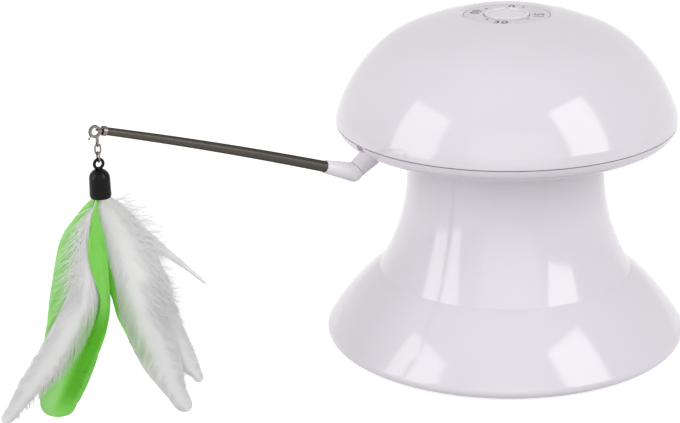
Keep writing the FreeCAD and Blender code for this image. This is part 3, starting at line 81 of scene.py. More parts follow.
# %% Camera
camera_data = bpy.data.cameras.new("product_camera")
camera_data.lens = 106.79
camera_data.sensor_width = 36.0
camera_data.clip_start = 0.05
camera = bpy.data.objects.new("product_camera", camera_data)
bpy.context.collection.objects.link(camera)
right = Vector((0.99662946, 0.07978556, -0.01907825))
up = Vector((-0.00891716, 0.33654772, 0.94162419))
ahead = Vector((-0.08154875, 0.93828029, -0.33612483))
STAND_BACK, EYE_HEIGHT = 0.850, 0.36016
camera.matrix_world = Matrix(
    (
        (right.x, up.x, -ahead.x, 0.0),
        (right.y, up.y, -ahead.y, -STAND_BACK),
        (right.z, up.z, -ahead.z, EYE_HEIGHT),
        (0, 0, 0, 1),
    )
)
bpy.context.scene.camera = camera
print("lens:", round(camera_data.lens, 2), "mm")

# %% [markdown]
# ## Colour and nodes
# Paint and plastic colours are usually noted as sRGB hex codes, while shaders work with linear light. One
# function makes that change. A second one adds a shader node with its settings and links, so that a
# material's cell reads as a short list of what the surface is made of.

# %% Colour and node helpers


def linear(code):
    """A hex colour such as #DFD9E4 as linear light with full alpha."""
    channels = [int(code[i : i + 2], 16) / 255 for i in (1, 3, 5)]
    light = [c / 12.92 if c <= 0.04045 else ((c + 0.055) / 1.055) ** 2.4 for c in channels]
    return (*light, 1.0)


def node(tree, kind, inputs=None, **settings):
    """Adds a node, sets it, and fills each named input with a value or links it to another node's output."""
    made = tree.nodes.new(kind)
    for name, setting in settings.items():
        setattr(made, name, setting)
    for name, given in (inputs or {}).items():
        if isinstance(given, bpy.types.NodeSocket):
            tree.links.new(given, made.inputs[name])
        else:
            made.inputs[name].default_value = given
    return made


def finish_named(name):
    """A new material with an empty tree but its Principled shader and output."""
    material = bpy.data.materials.new(name)
    material.use_nodes = True
    tree = material.node_tree
    return material, tree, tree.nodes["Principled BSDF"]


print("lilac in linear light:", [round(c, 3) for c in linear("#DFD9E4")])

# %% [markdown]
# ## Light, floor and backdrop
# The toy stands on a white table in a light tent. Two tall softboxes, one on each side in front, give the
# bright windows on its gloss, and the tent fills the rest. A third, broad one behind the camera is no
# brighter than the tent, so it lifts what faces the camera and shows no window of its own. What gloss shows
# is what it mirrors, so the sizes and places of the softboxes matter as much as their power.

# %% Softboxes
AIM = Vector((0, 0, 0.08))


def softbox(name, azimuth, elevation, distance, width, height, power):
    """A rectangular area lamp that faces the toy."""
    a, e = math.radians(azimuth), math.radians(elevation)
    away = Vector((math.cos(a) * math.cos(e), math.sin(a) * math.cos(e), math.sin(e)))
    lamp = bpy.data.lights.new(name, "AREA")
    lamp.shape = "RECTANGLE"
    lamp.size = width
    lamp.size_y = height
    lamp.energy = power
    holder = bpy.data.objects.new(name, lamp)
    holder.location = AIM + away * distance
    holder.rotation_mode = "QUATERNION"
    holder.rotation_quaternion = (-away).to_track_quat("-Z", "Y")
    bpy.context.collection.objects.link(holder)


# name, azimuth and elevation in degrees, distance, width and height in metres, power in watts
softbox("softbox_left", -153, 18, 1.4, 0.80, 1.30, 9.2)
softbox("softbox_right", -33, 31, 1.4, 0.66, 1.00, 7.6)
softbox("softbox_front", -84, 16, 1.5, 1.60, 1.20, 3.3)
print("softboxes aim at a height of", round(AIM.z / MM), "mm")

# %% Tent and table
FILL, SEEN, TABLE_GLOW = 0.46, 1.0, 0.75  # the tent's soft light, the tent as seen, and the table as seen
world = bpy.data.worlds.new("light_tent")
bpy.context.scene.world = world
world.use_nodes = True
tent = world.node_tree
tent.nodes.clear()


def seen_rays(tree):
    """1 for a ray from the camera or one that a gloss or a clear piece sends on, 0 for soft light."""
    path = node(tree, "ShaderNodeLightPath")
    through = node(
        tree,
        "ShaderNodeMath",
        {0: path.outputs["Is Camera Ray"], 1: path.outputs["Is Transmission Ray"]},
        operation="MAXIMUM",
    )
    seen = node(
        tree,
        "ShaderNodeMath",
        {0: through.outputs[0], 1: path.outputs["Is Glossy Ray"]},
        operation="MAXIMUM",
    )
    return seen.outputs[0]


fill = node(tent, "ShaderNodeBackground", {"Color": (1, 1, 1, 1), "Strength": FILL})
white = node(tent, "ShaderNodeBackground", {"Color": (1, 1, 1, 1), "Strength": SEEN})
both = node(tent, "ShaderNodeMixShader", {0: seen_rays(tent), 1: fill.outputs[0], 2: white.outputs[0]})
node(tent, "ShaderNodeOutputWorld", {"Surface": both.outputs[0]})

bpy.ops.mesh.primitive_plane_add(size=6.0, location=(0, 0, 0))
table = bpy.context.object
table.name = "table"
paper, tree, shader = finish_named("white_table_paper")
shader.inputs["Base Color"].default_value = linear("#C6C6C6")
shader.inputs["Roughness"].default_value = 0.9
shader.inputs["Specular IOR Level"].default_value = 0.1
glow = node(tree, "ShaderNodeMath", {0: seen_rays(tree), 1: TABLE_GLOW}, operation="MULTIPLY")
shader.inputs["Emission Color"].default_value = (1, 1, 1, 1)
tree.links.new(glow.outputs[0], shader.inputs["Emission Strength"])
table.data.materials.append(paper)

# %% [markdown]
# ## Lilac ABS
# The shells are injection-moulded ABS from a polished tool: a high, even gloss with a faint orange peel, and
# a lilac-white colour that goes through the plastic. The eye knows it by the softbox windows, sharp but not
# mirror-sharp. The tone drifts by a percent or so in patches about 45 mm wide, and the gloss in 6 mm ones.

# %% Gloss ABS
# Millimetres from one patch or wave to the next
TONE_PATCH, GLOSS_PATCH, PEEL_WAVE = 1000 / 22, 6.25, 6


def gloss_abs(name, code, roughness, peel=0.007):
    """Moulded ABS: peel is the height of the orange peel in millimetres."""
    material, tree, shader = finish_named(name)
    place = node(tree, "ShaderNodeTexCoord")
    spot = place.outputs["Object"]
    broad = node(tree, "ShaderNodeTexNoise", {"Vector": spot, "Scale": 1 / (TONE_PATCH * MM), "Detail": 2.0})
    tone = node(tree, "ShaderNodeHueSaturation", {"Color": linear(code)})
    swing = node(
        tree,
        "ShaderNodeMapRange",
        {"Value": broad.outputs["Fac"], "From Min": 0.3, "From Max": 0.7, "To Min": 0.985, "To Max": 1.01},
    )
    tree.links.new(swing.outputs[0], tone.inputs["Value"])
    tree.links.new(tone.outputs[0], shader.inputs["Base Color"])
    scuff = node(
        tree, "ShaderNodeTexNoise", {"Vector": spot, "Scale": 1 / (GLOSS_PATCH * MM), "Detail": 4.0}
    )
    rough = node(
        tree,
        "ShaderNodeMapRange",
        {
            "Value": scuff.outputs["Fac"],
            "From Min": 0.35,
            "From Max": 0.65,
            "To Min": roughness * 0.85,
            "To Max": roughness * 1.2,
        },
    )
    tree.links.new(rough.outputs[0], shader.inputs["Roughness"])
    wave = node(tree, "ShaderNodeTexNoise", {"Vector": spot, "Scale": 1 / (PEEL_WAVE * MM), "Detail": 1.0})
    skin = node(
        tree, "ShaderNodeBump", {"Height": wave.outputs["Fac"], "Distance": peel * MM, "Strength": 1.0}
    )
    tree.links.new(skin.outputs[0], shader.inputs["Normal"])
    shader.inputs["IOR"].default_value = 1.54
    return material


# The shells are the glossiest. The dial is duller, so that its print can be read, and the elbow is whiter.
FINISHES = {
    "shell_lilac": gloss_abs("moulded_abs_lilac", "#E3DDE5", 0.11),
    "dial_lilac": gloss_abs("moulded_abs_dial", "#DAD5DB", 0.28, peel=0.004),
    "knob_lilac": gloss_abs("moulded_abs_knob", "#E4E0E6", 0.16, peel=0.004),
    "elbow_white": gloss_abs("moulded_abs_white", "#EBE6ED", 0.25, peel=0.008),
}
print("gloss finishes:", list(FINISHES))

# %% [markdown]
# ## Plain plastics and rubber
# Inner mouldings, gears and feet come from blasted tools, so they are matt with a fine grain. The grain is
# drawn at 0.4 mm, a little coarser than real, so that it shows in a close view. One recipe serves them all,
# and the table says what sets each apart.

# %% Matt plastics
MOTTLE = 1000 / 60  # millimetres from one lighter patch to the next


def matt_moulding(name, code, roughness, ior, grain=0.4, depth=0.012):
    """A plain moulded plastic or rubber with a blasted grain, in millimetres."""
    material, tree, shader = finish_named(name)
    place = node(tree, "ShaderNodeTexCoord")
    spot = place.outputs["Object"]
    specks = node(tree, "ShaderNodeTexNoise", {"Vector": spot, "Scale": 1 / (grain * MM), "Detail": 2.0})
    broad = node(tree, "ShaderNodeTexNoise", {"Vector": spot, "Scale": 1 / (MOTTLE * MM), "Detail": 3.0})
    swing = node(
        tree,
        "ShaderNodeMapRange",
        {"Value": broad.outputs["Fac"], "From Min": 0.3, "From Max": 0.7, "To Min": 0.93, "To Max": 1.05},
    )
    tone = node(tree, "ShaderNodeHueSaturation", {"Color": linear(code), "Value": swing.outputs[0]})
    tree.links.new(tone.outputs[0], shader.inputs["Base Color"])
    skin = node(
        tree, "ShaderNodeBump", {"Height": specks.outputs["Fac"], "Distance": depth * MM, "Strength": 0.7}
    )
    tree.links.new(skin.outputs[0], shader.inputs["Normal"])
    shader.inputs["Roughness"].default_value = roughness
    shader.inputs["IOR"].default_value = ior
    return material


# slot: the material's name, colour, roughness and IOR, and its grain and depth where they differ
MATT = {
    "inner_plastic": ("blasted_abs", "#D5D2D6", 0.5, 1.54),  # dull and even, a shade below the shells
    "bush_acetal": ("acetal_bush", "#E9E7E0", 0.38, 1.48),  # waxy and a little warm
    "gear_acetal": ("acetal_gear", "#ECEADF", 0.36, 1.48),  # waxy, with a soft light on each tooth
    "foot_rubber": ("foot_rubber", "#3A3A3C", 0.8, 1.52),  # dark grey, almost without shine
    "component_black": ("black_component", "#1E1E20", 0.45, 1.55),  # black with a grey bloom
    "board_laminate": ("green_solder_mask", "#1F6B3A", 0.3, 1.5),  # green with a glassy skin
    "glue": ("set_glue", "#C8BFA0", 0.35, 1.5),  # a yellowish, slightly wet look
    "cap_rubber": ("soft_black_pvc", "#08070A", 0.24, 1.53, 0.5, 0.01),  # deep black
}
for slot, recipe in MATT.items():
    FINISHES[slot] = matt_moulding(*recipe)

# Soft PVC mirrors little, so the cap stays nearly black between the softboxes.
shader = FINISHES["cap_rubber"].node_tree.nodes["Principled BSDF"]
shader.inputs["Specular IOR Level"].default_value = 0.14
print("with the matt ones:", len(FINISHES), "finishes")

# %% [markdown]
# ## Metals
# Turned, plated and drawn metals differ by colour and by how sharply they mirror. Their tool marks run round
# the piece, so the pattern is squeezed along the upright axis: 0.25 mm apart in height and 3 mm long.

# %% Metals
MARK_GAP, MARK_STRETCH = 0.25, 12


def worked_metal(name, code, roughness):
    """A metal whose roughness varies in fine tool marks."""
    material, tree, shader = finish_named(name)
    place = node(tree, "ShaderNodeTexCoord")
    squeeze = node(
        tree, "ShaderNodeMapping", {"Vector": place.outputs["Object"], "Scale": (1, 1, MARK_STRETCH)}
    )
    length = MARK_GAP * MARK_STRETCH * MM
    lines = node(
        tree, "ShaderNodeTexNoise", {"Vector": squeeze.outputs[0], "Scale": 1 / length, "Detail": 3.0}
    )
    rough = node(
        tree,
        "ShaderNodeMapRange",
        {
            "Value": lines.outputs["Fac"],
            "From Min": 0.3,
            "From Max": 0.7,
            "To Min": roughness * 0.75,
            "To Max": roughness * 1.3,
        },
    )
    tree.links.new(rough.outputs[0], shader.inputs["Roughness"])
    shader.inputs["Base Color"].default_value = linear(code)
    shader.inputs["Metallic"].default_value = 1.0
    return material


# slot: the metal's name, colour and roughness
METALS = {
    "screw_steel": ("zinc_plated_steel", "#C6C7C9", 0.3),  # pale and cool, a blurred mirror
    "axle_steel": ("ground_steel", "#C9C9CB", 0.22),  # a clear line of light along the rod
    "contact_steel": ("nickel_plated_spring", "#CFCDC8", 0.25),  # slightly warm
    "motor_steel": ("drawn_steel_can", "#BDBEC0", 0.32),  # grey, the dullest of them
    "ring_brass": ("turned_brass", "#D8B66A", 0.2),  # yellow, with clear rings of light
    "brush_metal": ("phosphor_bronze", "#C69C62", 0.3),  # reddish
    "laser_brass": ("knurled_brass", "#CFAE66", 0.28),  # yellow and blurred
    # The nickel is darker than bright nickel's own colour: partly its colour, partly painted shade for the
    # darker surroundings that its dark bands would mirror.
    "nickel": ("bright_nickel", "#7F7A73", 0.09),  # nearly a mirror, so dark and light bands
    "wand_steel": ("oiled_spring_steel", "#55514C", 0.16),  # dark, with a small light on each turn
}
for slot, recipe in METALS.items():
    FINISHES[slot] = worked_metal(*recipe)

# The edge tint dims the glancing reflection of the oiled steel and the plated nickel, which draws a dark
# edge:
# painted shade that stands in for darker surroundings mirrored at the edges.
for slot, edge in (("wand_steel", "#8A867F"), ("nickel", "#8A8783")):
    shader = FINISHES[slot].node_tree.nodes["Principled BSDF"]
    shader.inputs["Specular Tint"].default_value = linear(edge)
print("metals:", list(METALS))

# %% [markdown]
# ## Cell sleeve and clear acrylic
# The cells wear a plain sleeve in two colours, which the eye reads as a battery. A step along the cells parts
# the two. The laser's lens and window are clear acrylic with a faint haze, which keeps them from vanishing
# altogether.

# %% Cell sleeve and clear acrylic
SLEEVE_END, HAZE = 14, 2
sleeve, tree, shader = finish_named("printed_cell_sleeve")
place = node(tree, "ShaderNodeTexCoord")
bands = node(tree, "ShaderNodeSeparateXYZ", {0: place.outputs["Object"]})
upper_end = node(
    tree,
    "ShaderNodeMath",
    {0: bands.outputs["Y"], 1: SLEEVE_END * MM},
    operation="GREATER_THAN",
)
two_tone = node(
    tree,
    "ShaderNodeMix",
    {0: upper_end.outputs[0], 6: linear("#2C3440"), 7: linear("#B08A4A")},
    data_type="RGBA",
)
tree.links.new(two_tone.outputs[2], shader.inputs["Base Color"])
shader.inputs["Roughness"].default_value = 0.3
FINISHES["cell_sleeve"] = sleeve

lens, tree, shader = finish_named("clear_acrylic")
place = node(tree, "ShaderNodeTexCoord")
haze = node(tree, "ShaderNodeTexNoise", {"Vector": place.outputs["Object"], "Scale": 1 / (HAZE * MM)})
mist = node(
    tree,
    "ShaderNodeMapRange",
    {"Value": haze.outputs["Fac"], "From Min": 0.3, "From Max": 0.7, "To Min": 0.02, "To Max": 0.08},
)
tree.links.new(mist.outputs[0], shader.inputs["Roughness"])
shader.inputs["Base Color"].default_value = linear("#F3EFF2")
shader.inputs["Transmission Weight"].default_value = 1.0
shader.inputs["IOR"].default_value = 1.49
FINISHES["lens_clear"] = lens
print("finishes in all:", len(FINISHES))

# %% [markdown]
# ## Dressing the CAD pieces
# Each CAD piece names the slot that it takes its finish from, so one loop dresses them all. Only the feathers
# are left out, because they are modelled again further down.

# %% Dress the frame
slot_of = {part["node"]: part["material_slot"] for part in frame["record"]["subparts"]}
for name, piece in frame["nodes"].items():
    if slot_of[name] in FINISHES:
        for held in piece.material_slots:
            held.material = FINISHES[slot_of[name]]
print("dressed:", sum(slot in FINISHES for slot in slot_of.values()), "pieces")

# %% [markdown]
# ## The wand
# The wand is a close-wound spring: a steel wire half a millimetre thick, wound turn against turn to a taper,
# and ground until the turns are nearly flat. One ring, pressed to an oval, is the wire's section, and the
# Screw modifier winds it. The straight coil is then tapered and laid along the wand's gentle arc by moving
# its vertices.

# %% The arm's frame
ARM_AZIMUTH = math.radians(215)
OUT = Vector((math.cos(ARM_AZIMUTH), math.sin(ARM_AZIMUTH), 0))
ASIDE = Vector((-math.sin(ARM_AZIMUTH), math.cos(ARM_AZIMUTH), 0))
UP = Vector((0, 0, 1))
ROOT = (91.843, 94.413)
RISE, DROOP, LENGTH = 20.0, 3.11, 104.03
BEND = LENGTH / math.radians(DROOP)


def in_arm(reach, level, side=0.0):
    """A point given by reach from the head's axis, level over the table and side, all in millimetres."""
    return (OUT * reach + ASIDE * side + UP * level) * MM


def wand_spot(distance):
    """Where the wand's middle line is, and its direction there, at a distance from the elbow's mouth."""
    slope = math.radians(RISE) - max(distance, 0) / BEND
    start = math.radians(RISE)
    if distance < 0:
        reach, level = ROOT[0] + distance * math.cos(start), ROOT[1] + distance * math.sin(start)
    else:
        reach = ROOT[0] + BEND * (math.sin(start) - math.sin(slope))
        level = ROOT[1] + BEND * (math.cos(slope) - math.cos(start))
    return reach, level, slope


print("wand's end:", [round(n, 2) for n in wand_spot(LENGTH)[:2]])

# %% Wind the spring
# From turn to turn, then half the wire's width, how flat it is pressed and the radius that it is wound to
WIRE = 0.5
SECTION, FLATNESS, COIL = 0.26, 0.42, 2.29
ROOT_RADIUS, TIP_RADIUS = 2.4, 1.6
# The coil runs from inside the elbow to just short of the wand's end.
FIRST, LAST = -5.4, LENGTH - 0.2
bpy.ops.mesh.primitive_circle_add(
    vertices=8, radius=SECTION * MM, location=(COIL * MM, 0, 0), rotation=(math.pi / 2, 0, 0)
)
wand = bpy.context.object
wand.name = "wand_spring"
wand.scale.x = FLATNESS
bpy.ops.object.transform_apply(location=True, rotation=True, scale=True)
winding = wand.modifiers.new("winding", "SCREW")
winding.axis = "Z"
winding.angle = math.tau
winding.screw_offset = WIRE * MM
winding.iterations = int((LAST - FIRST) / WIRE)
winding.steps = 18
winding.render_steps = 18
winding.use_smooth_shade = True
alone(wand)
bpy.ops.object.modifier_apply(modifier="winding")
for vertex in wand.data.vertices:
    x, y, z = vertex.co / MM
    distance = FIRST + z
    share = max(distance, 0) / LENGTH
    size = (ROOT_RADIUS + (TIP_RADIUS - ROOT_RADIUS) * share) / ROOT_RADIUS
    reach, level, slope = wand_spot(distance)
    lift, side = x * size, y * size
    vertex.co = in_arm(reach - lift * math.sin(slope), level + lift * math.cos(slope), side)
alone(wand)
bpy.ops.object.mode_set(mode="EDIT")
bpy.ops.mesh.select_all(action="SELECT")
bpy.ops.mesh.normals_make_consistent(inside=False)
bpy.ops.object.mode_set(mode="OBJECT")
wand.data.materials.append(FINISHES["wand_steel"])
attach(wand, "arm")
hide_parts("wand_rod")
print("spring:", len(wand.data.polygons), "faces")

# %% [markdown]
# ## Feathers
# A feather has a shaft, and on each side a vane of barbs that leave it at a slant and hook into each other.
# Where the hooks hold, the vane is a smooth sheet. Where they have let go, it is a comb of single barbs. So
# each feather is made twice over: a thin sheet for its middle, and hundreds of flat hairs that follow the
# barbs out to a soft edge.

# %% Places in the fan
HANG = in_arm(193.579, 0)
FAN = math.radians(12.2)
ACROSS = Vector((math.cos(FAN), math.sin(FAN), 0))
FRONT = Vector((math.sin(FAN), -math.cos(FAN), 0))


def in_fan(across, level, depth):
    """A point of the fan: across its plane, up from the table, and towards its front, in millimetres."""
    return HANG + (ACROSS * across + UP * level + FRONT * depth) * MM


# name: the layer it lies in, counted forwards, and its stations (across, level, half width)
FEATHERS = {
    "green_feather_centre": (
        2.4,
        [(-2.1, 97.3, 0.6), (-2.6, 90.3, 1.9), (-2.7, 83.2, 3.3), (-2.6, 76.8, 3.8), (-2.1, 70.7, 3.4)]
        + [(-1.2, 63.5, 2.5), (-0.6, 56.6, 1.9), (-1.8, 50.1, 2.3), (-4.5, 42.3, 3.0), (-8.0, 34.8, 3.3)]
        + [(-12.6, 26.0, 0.0)],
    ),
    "white_feather_left": (
        1.4,
        [(-2.7, 96.8, 0.6), (-5.4, 90.0, 1.2), (-6.9, 83.0, 1.8), (-7.6, 76.0, 2.6), (-7.9, 68.6, 4.0)]
        + [(-9.0, 60.4, 6.0), (-13.9, 47.8, 7.6), (-22.6, 33.6, 7.6), (-32.0, 22.3, 6.2)]
        + [(-40.5, 11.2, 3.6), (-44.6, 6.6, 0.0)],
    ),
    "green_feather_outer": (
        0.4,
        [(-4.3, 96.6, 2.2), (-7.5, 89.7, 4.4), (-9.9, 82.9, 6.8), (-11.2, 72.5, 8.7), (-11.9, 60.0, 10.6)]
        + [(-13.2, 46.5, 11.6), (-16.2, 34.2, 11.1), (-19.4, 23.6, 10.1), (-21.6, 15.9, 8.5)]
        + [(-22.3, 13.0, 7.4), (-22.9, 7.0, 0.0)],
    ),
    "white_feather_right": (
        -0.6,
        [(1.2, 97.8, 3.1), (3.7, 92.0, 5.6), (7.0, 85.0, 7.6), (9.9, 76.5, 8.8), (12.0, 67.0, 9.3)]
        + [(13.4, 56.0, 9.8), (15.9, 44.6, 9.9), (19.2, 34.2, 9.4), (22.4, 24.6, 8.0), (26.6, 12.6, 4.4)]
        + [(30.6, 5.0, 0.0)],
    ),
    "white_feather_back": (
        -1.6,
        [(3.6, 97.4, 2.4), (8.6, 89.6, 4.8), (13.6, 80.4, 5.8), (17.4, 70.6, 6.0), (20.0, 61.0, 5.6)]
        + [(22.4, 51.2, 5.4), (25.8, 39.6, 5.8), (29.2, 31.0, 5.6), (32.4, 24.2, 4.4), (34.8, 20.2, 2.6)]
        + [(36.0, 17.2, 0.0)],
    ),
    "white_feather_spike": (
        -2.6,
        [(1.9, 98.2, 1.1), (7.6, 92.2, 2.4), (13.4, 84.6, 3.2), (18.6, 79.0, 3.4), (23.2, 75.4, 2.9)]
        + [(26.6, 72.6, 1.8), (30.3, 69.3, 1.4), (34.4, 65.4, 0.9), (40.1, 59.8, 0.0)],
    ),
}
LAYER = 1.05  # millimetres from one layer to the next
print("fan axis:", [round(n, 4) for n in HANG])

# %% [markdown]
# A feather's shaft isn't straight, so its stations are joined by a smooth curve. The width is read along the
# same curve, which gives the outline, and the last stretch closes in a round tip.

# %% Read a feather's line
CAP_MOUTH, GLUE = 100.673, 102.073
STEPS = 12  # from one station to the next


def catmull(before, first, last, after, share):
    """One coordinate of the smooth curve from first to last."""
    a = 2 * first
    b = last - before
    c = 2 * before - 5 * first + 4 * last - after
    d = -before + 3 * first - 3 * last + after
    return 0.5 * (a + b * share + c * share**2 + d * share**3)


class Shaft:
    """A feather's middle line: where it is, its way and the half width at a share of its length."""

    def __init__(self, stations, rooted=True):
        points = list(stations)
        if rooted:
            root = max(-1.6, min(1.6, stations[0][0] * 0.5))
            points = [(root, GLUE, 0.6), (root, CAP_MOUTH, 0.6), *points]
        self.spots = []
        for i in range(len(points) - 1):
            ends = [points[max(i - 1, 0)], points[i], points[i + 1], points[min(i + 2, len(points) - 1)]]
            if i == len(points) - 3:
                ends[3] = (*ends[3][:2], 0.85 * ends[2][2])
            for step in range(STEPS):
                spot = [catmull(*(p[k] for p in ends), step / STEPS) for k in range(3)]
                if i == len(points) - 2:
                    spot[2] = points[i][2] * math.sqrt(1 - (step / STEPS) ** 2)
                self.spots.append(spot)
        self.spots.append(list(points[-1]))
        self.run = [0.0]
        for one, two in zip(self.spots, self.spots[1:]):
            self.run.append(self.run[-1] + math.dist(one[:2], two[:2]))
        self.length = self.run[-1]

    def at(self, share):
        """(across, level, half width) at a share of the length."""
        goal = min(max(share, 0.0), 1.0) * self.length
        i = next((k for k in range(1, len(self.run)) if self.run[k] >= goal), len(self.run) - 1)
        gap = self.run[i] - self.run[i - 1]
        part = (goal - self.run[i - 1]) / gap if gap else 0.0
        return [a + (b - a) * part for a, b in zip(self.spots[i - 1], self.spots[i])]

    def side(self, share):
        """The direction square to the shaft in the fan, as (across, level)."""
        one, two = self.at(share - 0.04), self.at(share + 0.04)
        way = Vector((two[0] - one[0], two[1] - one[1])).normalized()
        return Vector((-way.y, way.x))


shaft = Shaft(FEATHERS["green_feather_outer"][1])
print("longest green feather:", round(shaft.length, 1), "mm")

# %% [markdown]
# ## Where a barb lies
# Every point of a feather is found from three numbers: how far down the shaft its barb starts, which side it
# is on, and how far out along the barb it lies. The sheet and the hairs both ask the same function, so that
# they always agree. A second function gives the depth, because the narrow green ribbon starts in front of the
# white feather on the left and slips behind it lower down.

# %% Barb and depth
SLANT = 0.28


def ease(low, high, amount):
    """0 below low, 1 above high, and a smooth rise between."""
    amount = min(max((amount - low) / (high - low), 0.0), 1.0)
    return amount * amount * (3 - 2 * amount)


def barb_end(share):
    """The share of the length at which a barb ends. Barbs stand square at the root and slant further down."""
    return min(share + SLANT * min(share / 0.3, 1.0) * (1 - share), 1.0)


def barb_spot(shaft, share, hand, out, seed):
    """Where a barb is, at a part of its length from the shaft, in the fan's plane."""
    reach = barb_end(share)
    start, end = shaft.at(share), shaft.at(reach)
    ragged = 1 + 0.03 * noise.noise(Vector((reach * 26, hand * 3.7, seed))) * out
    side = shaft.side(reach) * (hand * end[2] * ragged)
    edge = Vector((end[0] + side.x, end[1] + side.y))
    knee = shaft.at(share + 0.3 * (reach - share))
    turn = shaft.side(share) * (hand * end[2] * 0.55)
    middle = Vector((knee[0] + turn.x, knee[1] + turn.y))
    return Vector(start[:2]) * (1 - out) ** 2 + middle * (2 * out * (1 - out)) + edge * out**2


def sheet_depth(name, level, out, camber):
    """How far in front of the fan's plane a feather's sheet lies."""
    if name == "green_sliver":
        return 0.35 - camber * out**2
    depth = FEATHERS[name][0] * LAYER
    if name == "green_feather_centre":
        depth = 0.32 + (depth - 0.32) * ease(46, 61, level)
    if name == "white_feather_left":
        depth += 0.5 * (1 - ease(40, 70, level))
    return depth - camber * out**2


print("the barb that starts halfway down ends at a share of", round(barb_end(0.5), 2))

# %% [markdown]
# ## Dye
# The green runs unevenly. The broad green feather is pale along one edge and has a deep band below, two white
# ones took up a little green at an edge, and the rest is bleached. Each vertex keeps how much dye it holds in
# an attribute, and a second attribute makes one hair a little lighter than the next. On the white feathers
# the
# second attribute also rises with height: painted light, which draws the shaded upper parts lighter and the
# lower parts greyer.

# %% How much dye a place holds
# How far the band and the tinted edges shift sideways over each millimetre of height
LEFT_LEAN, RIGHT_LEAN = 0.467, 0.316


def dye_at(name, across, level):
    """Dye from 0 to 1: on a green feather pale to deep, on a white one bleached to green."""
    slant = across - LEFT_LEAN * level
    if name.startswith("green_feather"):
        upper = 0.52 if name == "green_feather_centre" else 0.34
        band = ease(-31, -26.5, slant) * (1 - 0.6 * ease(-22.8, -20.6, slant))
        lower = 0.34 + 0.66 * band * ease(4, 20, level)
        return lower + (upper - lower) * ease(42, 58, level)
    if name == "green_sliver":
        return 0.95 - 0.5 * (1 - ease(42, 54, level)) - 0.45 * ease(70, 76, level)
    if name == "white_feather_left":
        return 0.3 * ease(-37, -28, slant) * (1 - ease(46, 60, level))
    if name == "white_feather_right":
        lean = across + RIGHT_LEAN * level
        return 0.24 * (1 - ease(21.5, 31, lean)) * ease(22, 32, level) * (1 - ease(56, 72, level))
    return 0.0


def write_dye(piece, name, tones=None):
    """Stores the dye and the tone of each vertex. Hairs have a tone each, and a sheet has one tone all over,
    except that on a white feather the tone rises with height: painted light that lifts the shaded upper part.
    """
    held = piece.data.attributes.new("dye", "FLOAT", "POINT")
    shade = piece.data.attributes.new("tone", "FLOAT", "POINT")
    for vertex in piece.data.vertices:
        offset = (vertex.co - HANG) / MM
        dye = dye_at(name, offset.dot(ACROSS), offset.z)
        if tones and name.startswith("white"):
            dye *= 0.3 + 1.4 * tones[vertex.index]
        held.data[vertex.index].value = min(dye, 1.0)
        # Painted light: on a white feather the tone rises with height, so the shaded upper part is drawn
        # lighter.
        painted_height_lift = 0.15 + 0.7 * ease(35, 80, offset.z) if name.startswith("white") else 0.5
        shade.data[vertex.index].value = painted_height_lift + (0.5 * (tones[vertex.index] - 0.5) if tones else 0.0)


print("dye in the deep band:", round(dye_at("green_feather_outer", -11, 30), 2))

# %% [markdown]
# ## The sheet
# The sheet starts as a flat grid whose rows follow the barbs, so the grid's own UV map runs along and across
# them, and the material can draw barbs with it. The rows crowd towards the tip, which keeps its outline
# round. The sheet stops short of the outline where the barbs are loose, and a thin Solidify makes it a
# closed piece.

# %% Lay the sheet and the shaft
ROWS, COLUMNS, CROWDING = 110, 8, 1.4
SHEET_WALL, QUILL_RADIUS, QUILL_POINTS = 0.14, 0.3, 22


def sheet_reach(name, fullness, hand, level):
    """How far out the sheet goes. High up, the left white feather is all down on its left."""
    reach = fullness[0 if hand < 0 else 1]
    if name == "white_feather_left" and hand < 0:
        reach *= 1 - 0.88 * ease(58, 70, level)
    return reach


def lay_sheet(name, shaft, seed, camber, fullness):
    """fullness is how far out the sheet goes, on the left and on the right."""
    bpy.ops.mesh.primitive_grid_add(x_subdivisions=2 * COLUMNS, y_subdivisions=ROWS, size=2)
    sheet = bpy.context.object
    sheet.name = name + "_sheet"
    for vertex in sheet.data.vertices:
        hand = 1 if vertex.co.x >= 0 else -1
        out, share = abs(vertex.co.x), 1 - ((1 - vertex.co.y) / 2) ** CROWDING
        reach = sheet_reach(name, fullness, hand, shaft.at(share)[1])
        spot = barb_spot(shaft, share, hand, out * reach, seed)
        ripple = 0.10 * noise.noise(Vector((share * 22, out * 1.5, seed * 5.0))) * out
        vertex.co = in_fan(spot.x, spot.y, sheet_depth(name, spot.y, out, camber) + ripple)
    wall = sheet.modifiers.new("wall", "SOLIDIFY")
    wall.thickness = SHEET_WALL * MM
    wall.offset = 0.0
    alone(sheet)
    bpy.ops.object.modifier_apply(modifier="wall")
    bpy.ops.object.shade_smooth()
    write_dye(sheet, name)
    return sheet


def lay_quill(name, shaft):
    """The feather's shaft: a curve with a round section that thins towards the tip."""
    bpy.ops.curve.primitive_bezier_curve_add()
    quill = bpy.context.object
    quill.name = name + "_quill"
    curve = quill.data
    curve.splines.clear()
    line = curve.splines.new("NURBS")
    line.points.add(QUILL_POINTS - 1)
    for i, point in enumerate(line.points):
        share = 0.96 * i / (QUILL_POINTS - 1)
        across, level, _ = shaft.at(share)
        point.co = (*in_fan(across, level, sheet_depth(name, level, 0, 0) - 0.14), 1.0)
        point.radius = 1.0 - 0.85 * share
    line.order_u = 4
    line.use_endpoint_u = True
    curve.dimensions = "3D"
    curve.bevel_depth = QUILL_RADIUS * MM
    curve.bevel_resolution = 2
    curve.use_fill_caps = True
    alone(quill)
    bpy.ops.object.convert(target="MESH")
    bpy.ops.object.shade_smooth()
    quill = bpy.context.object
    write_dye(quill, name)
    return quill


print("rows of barbs in a sheet:", ROWS)

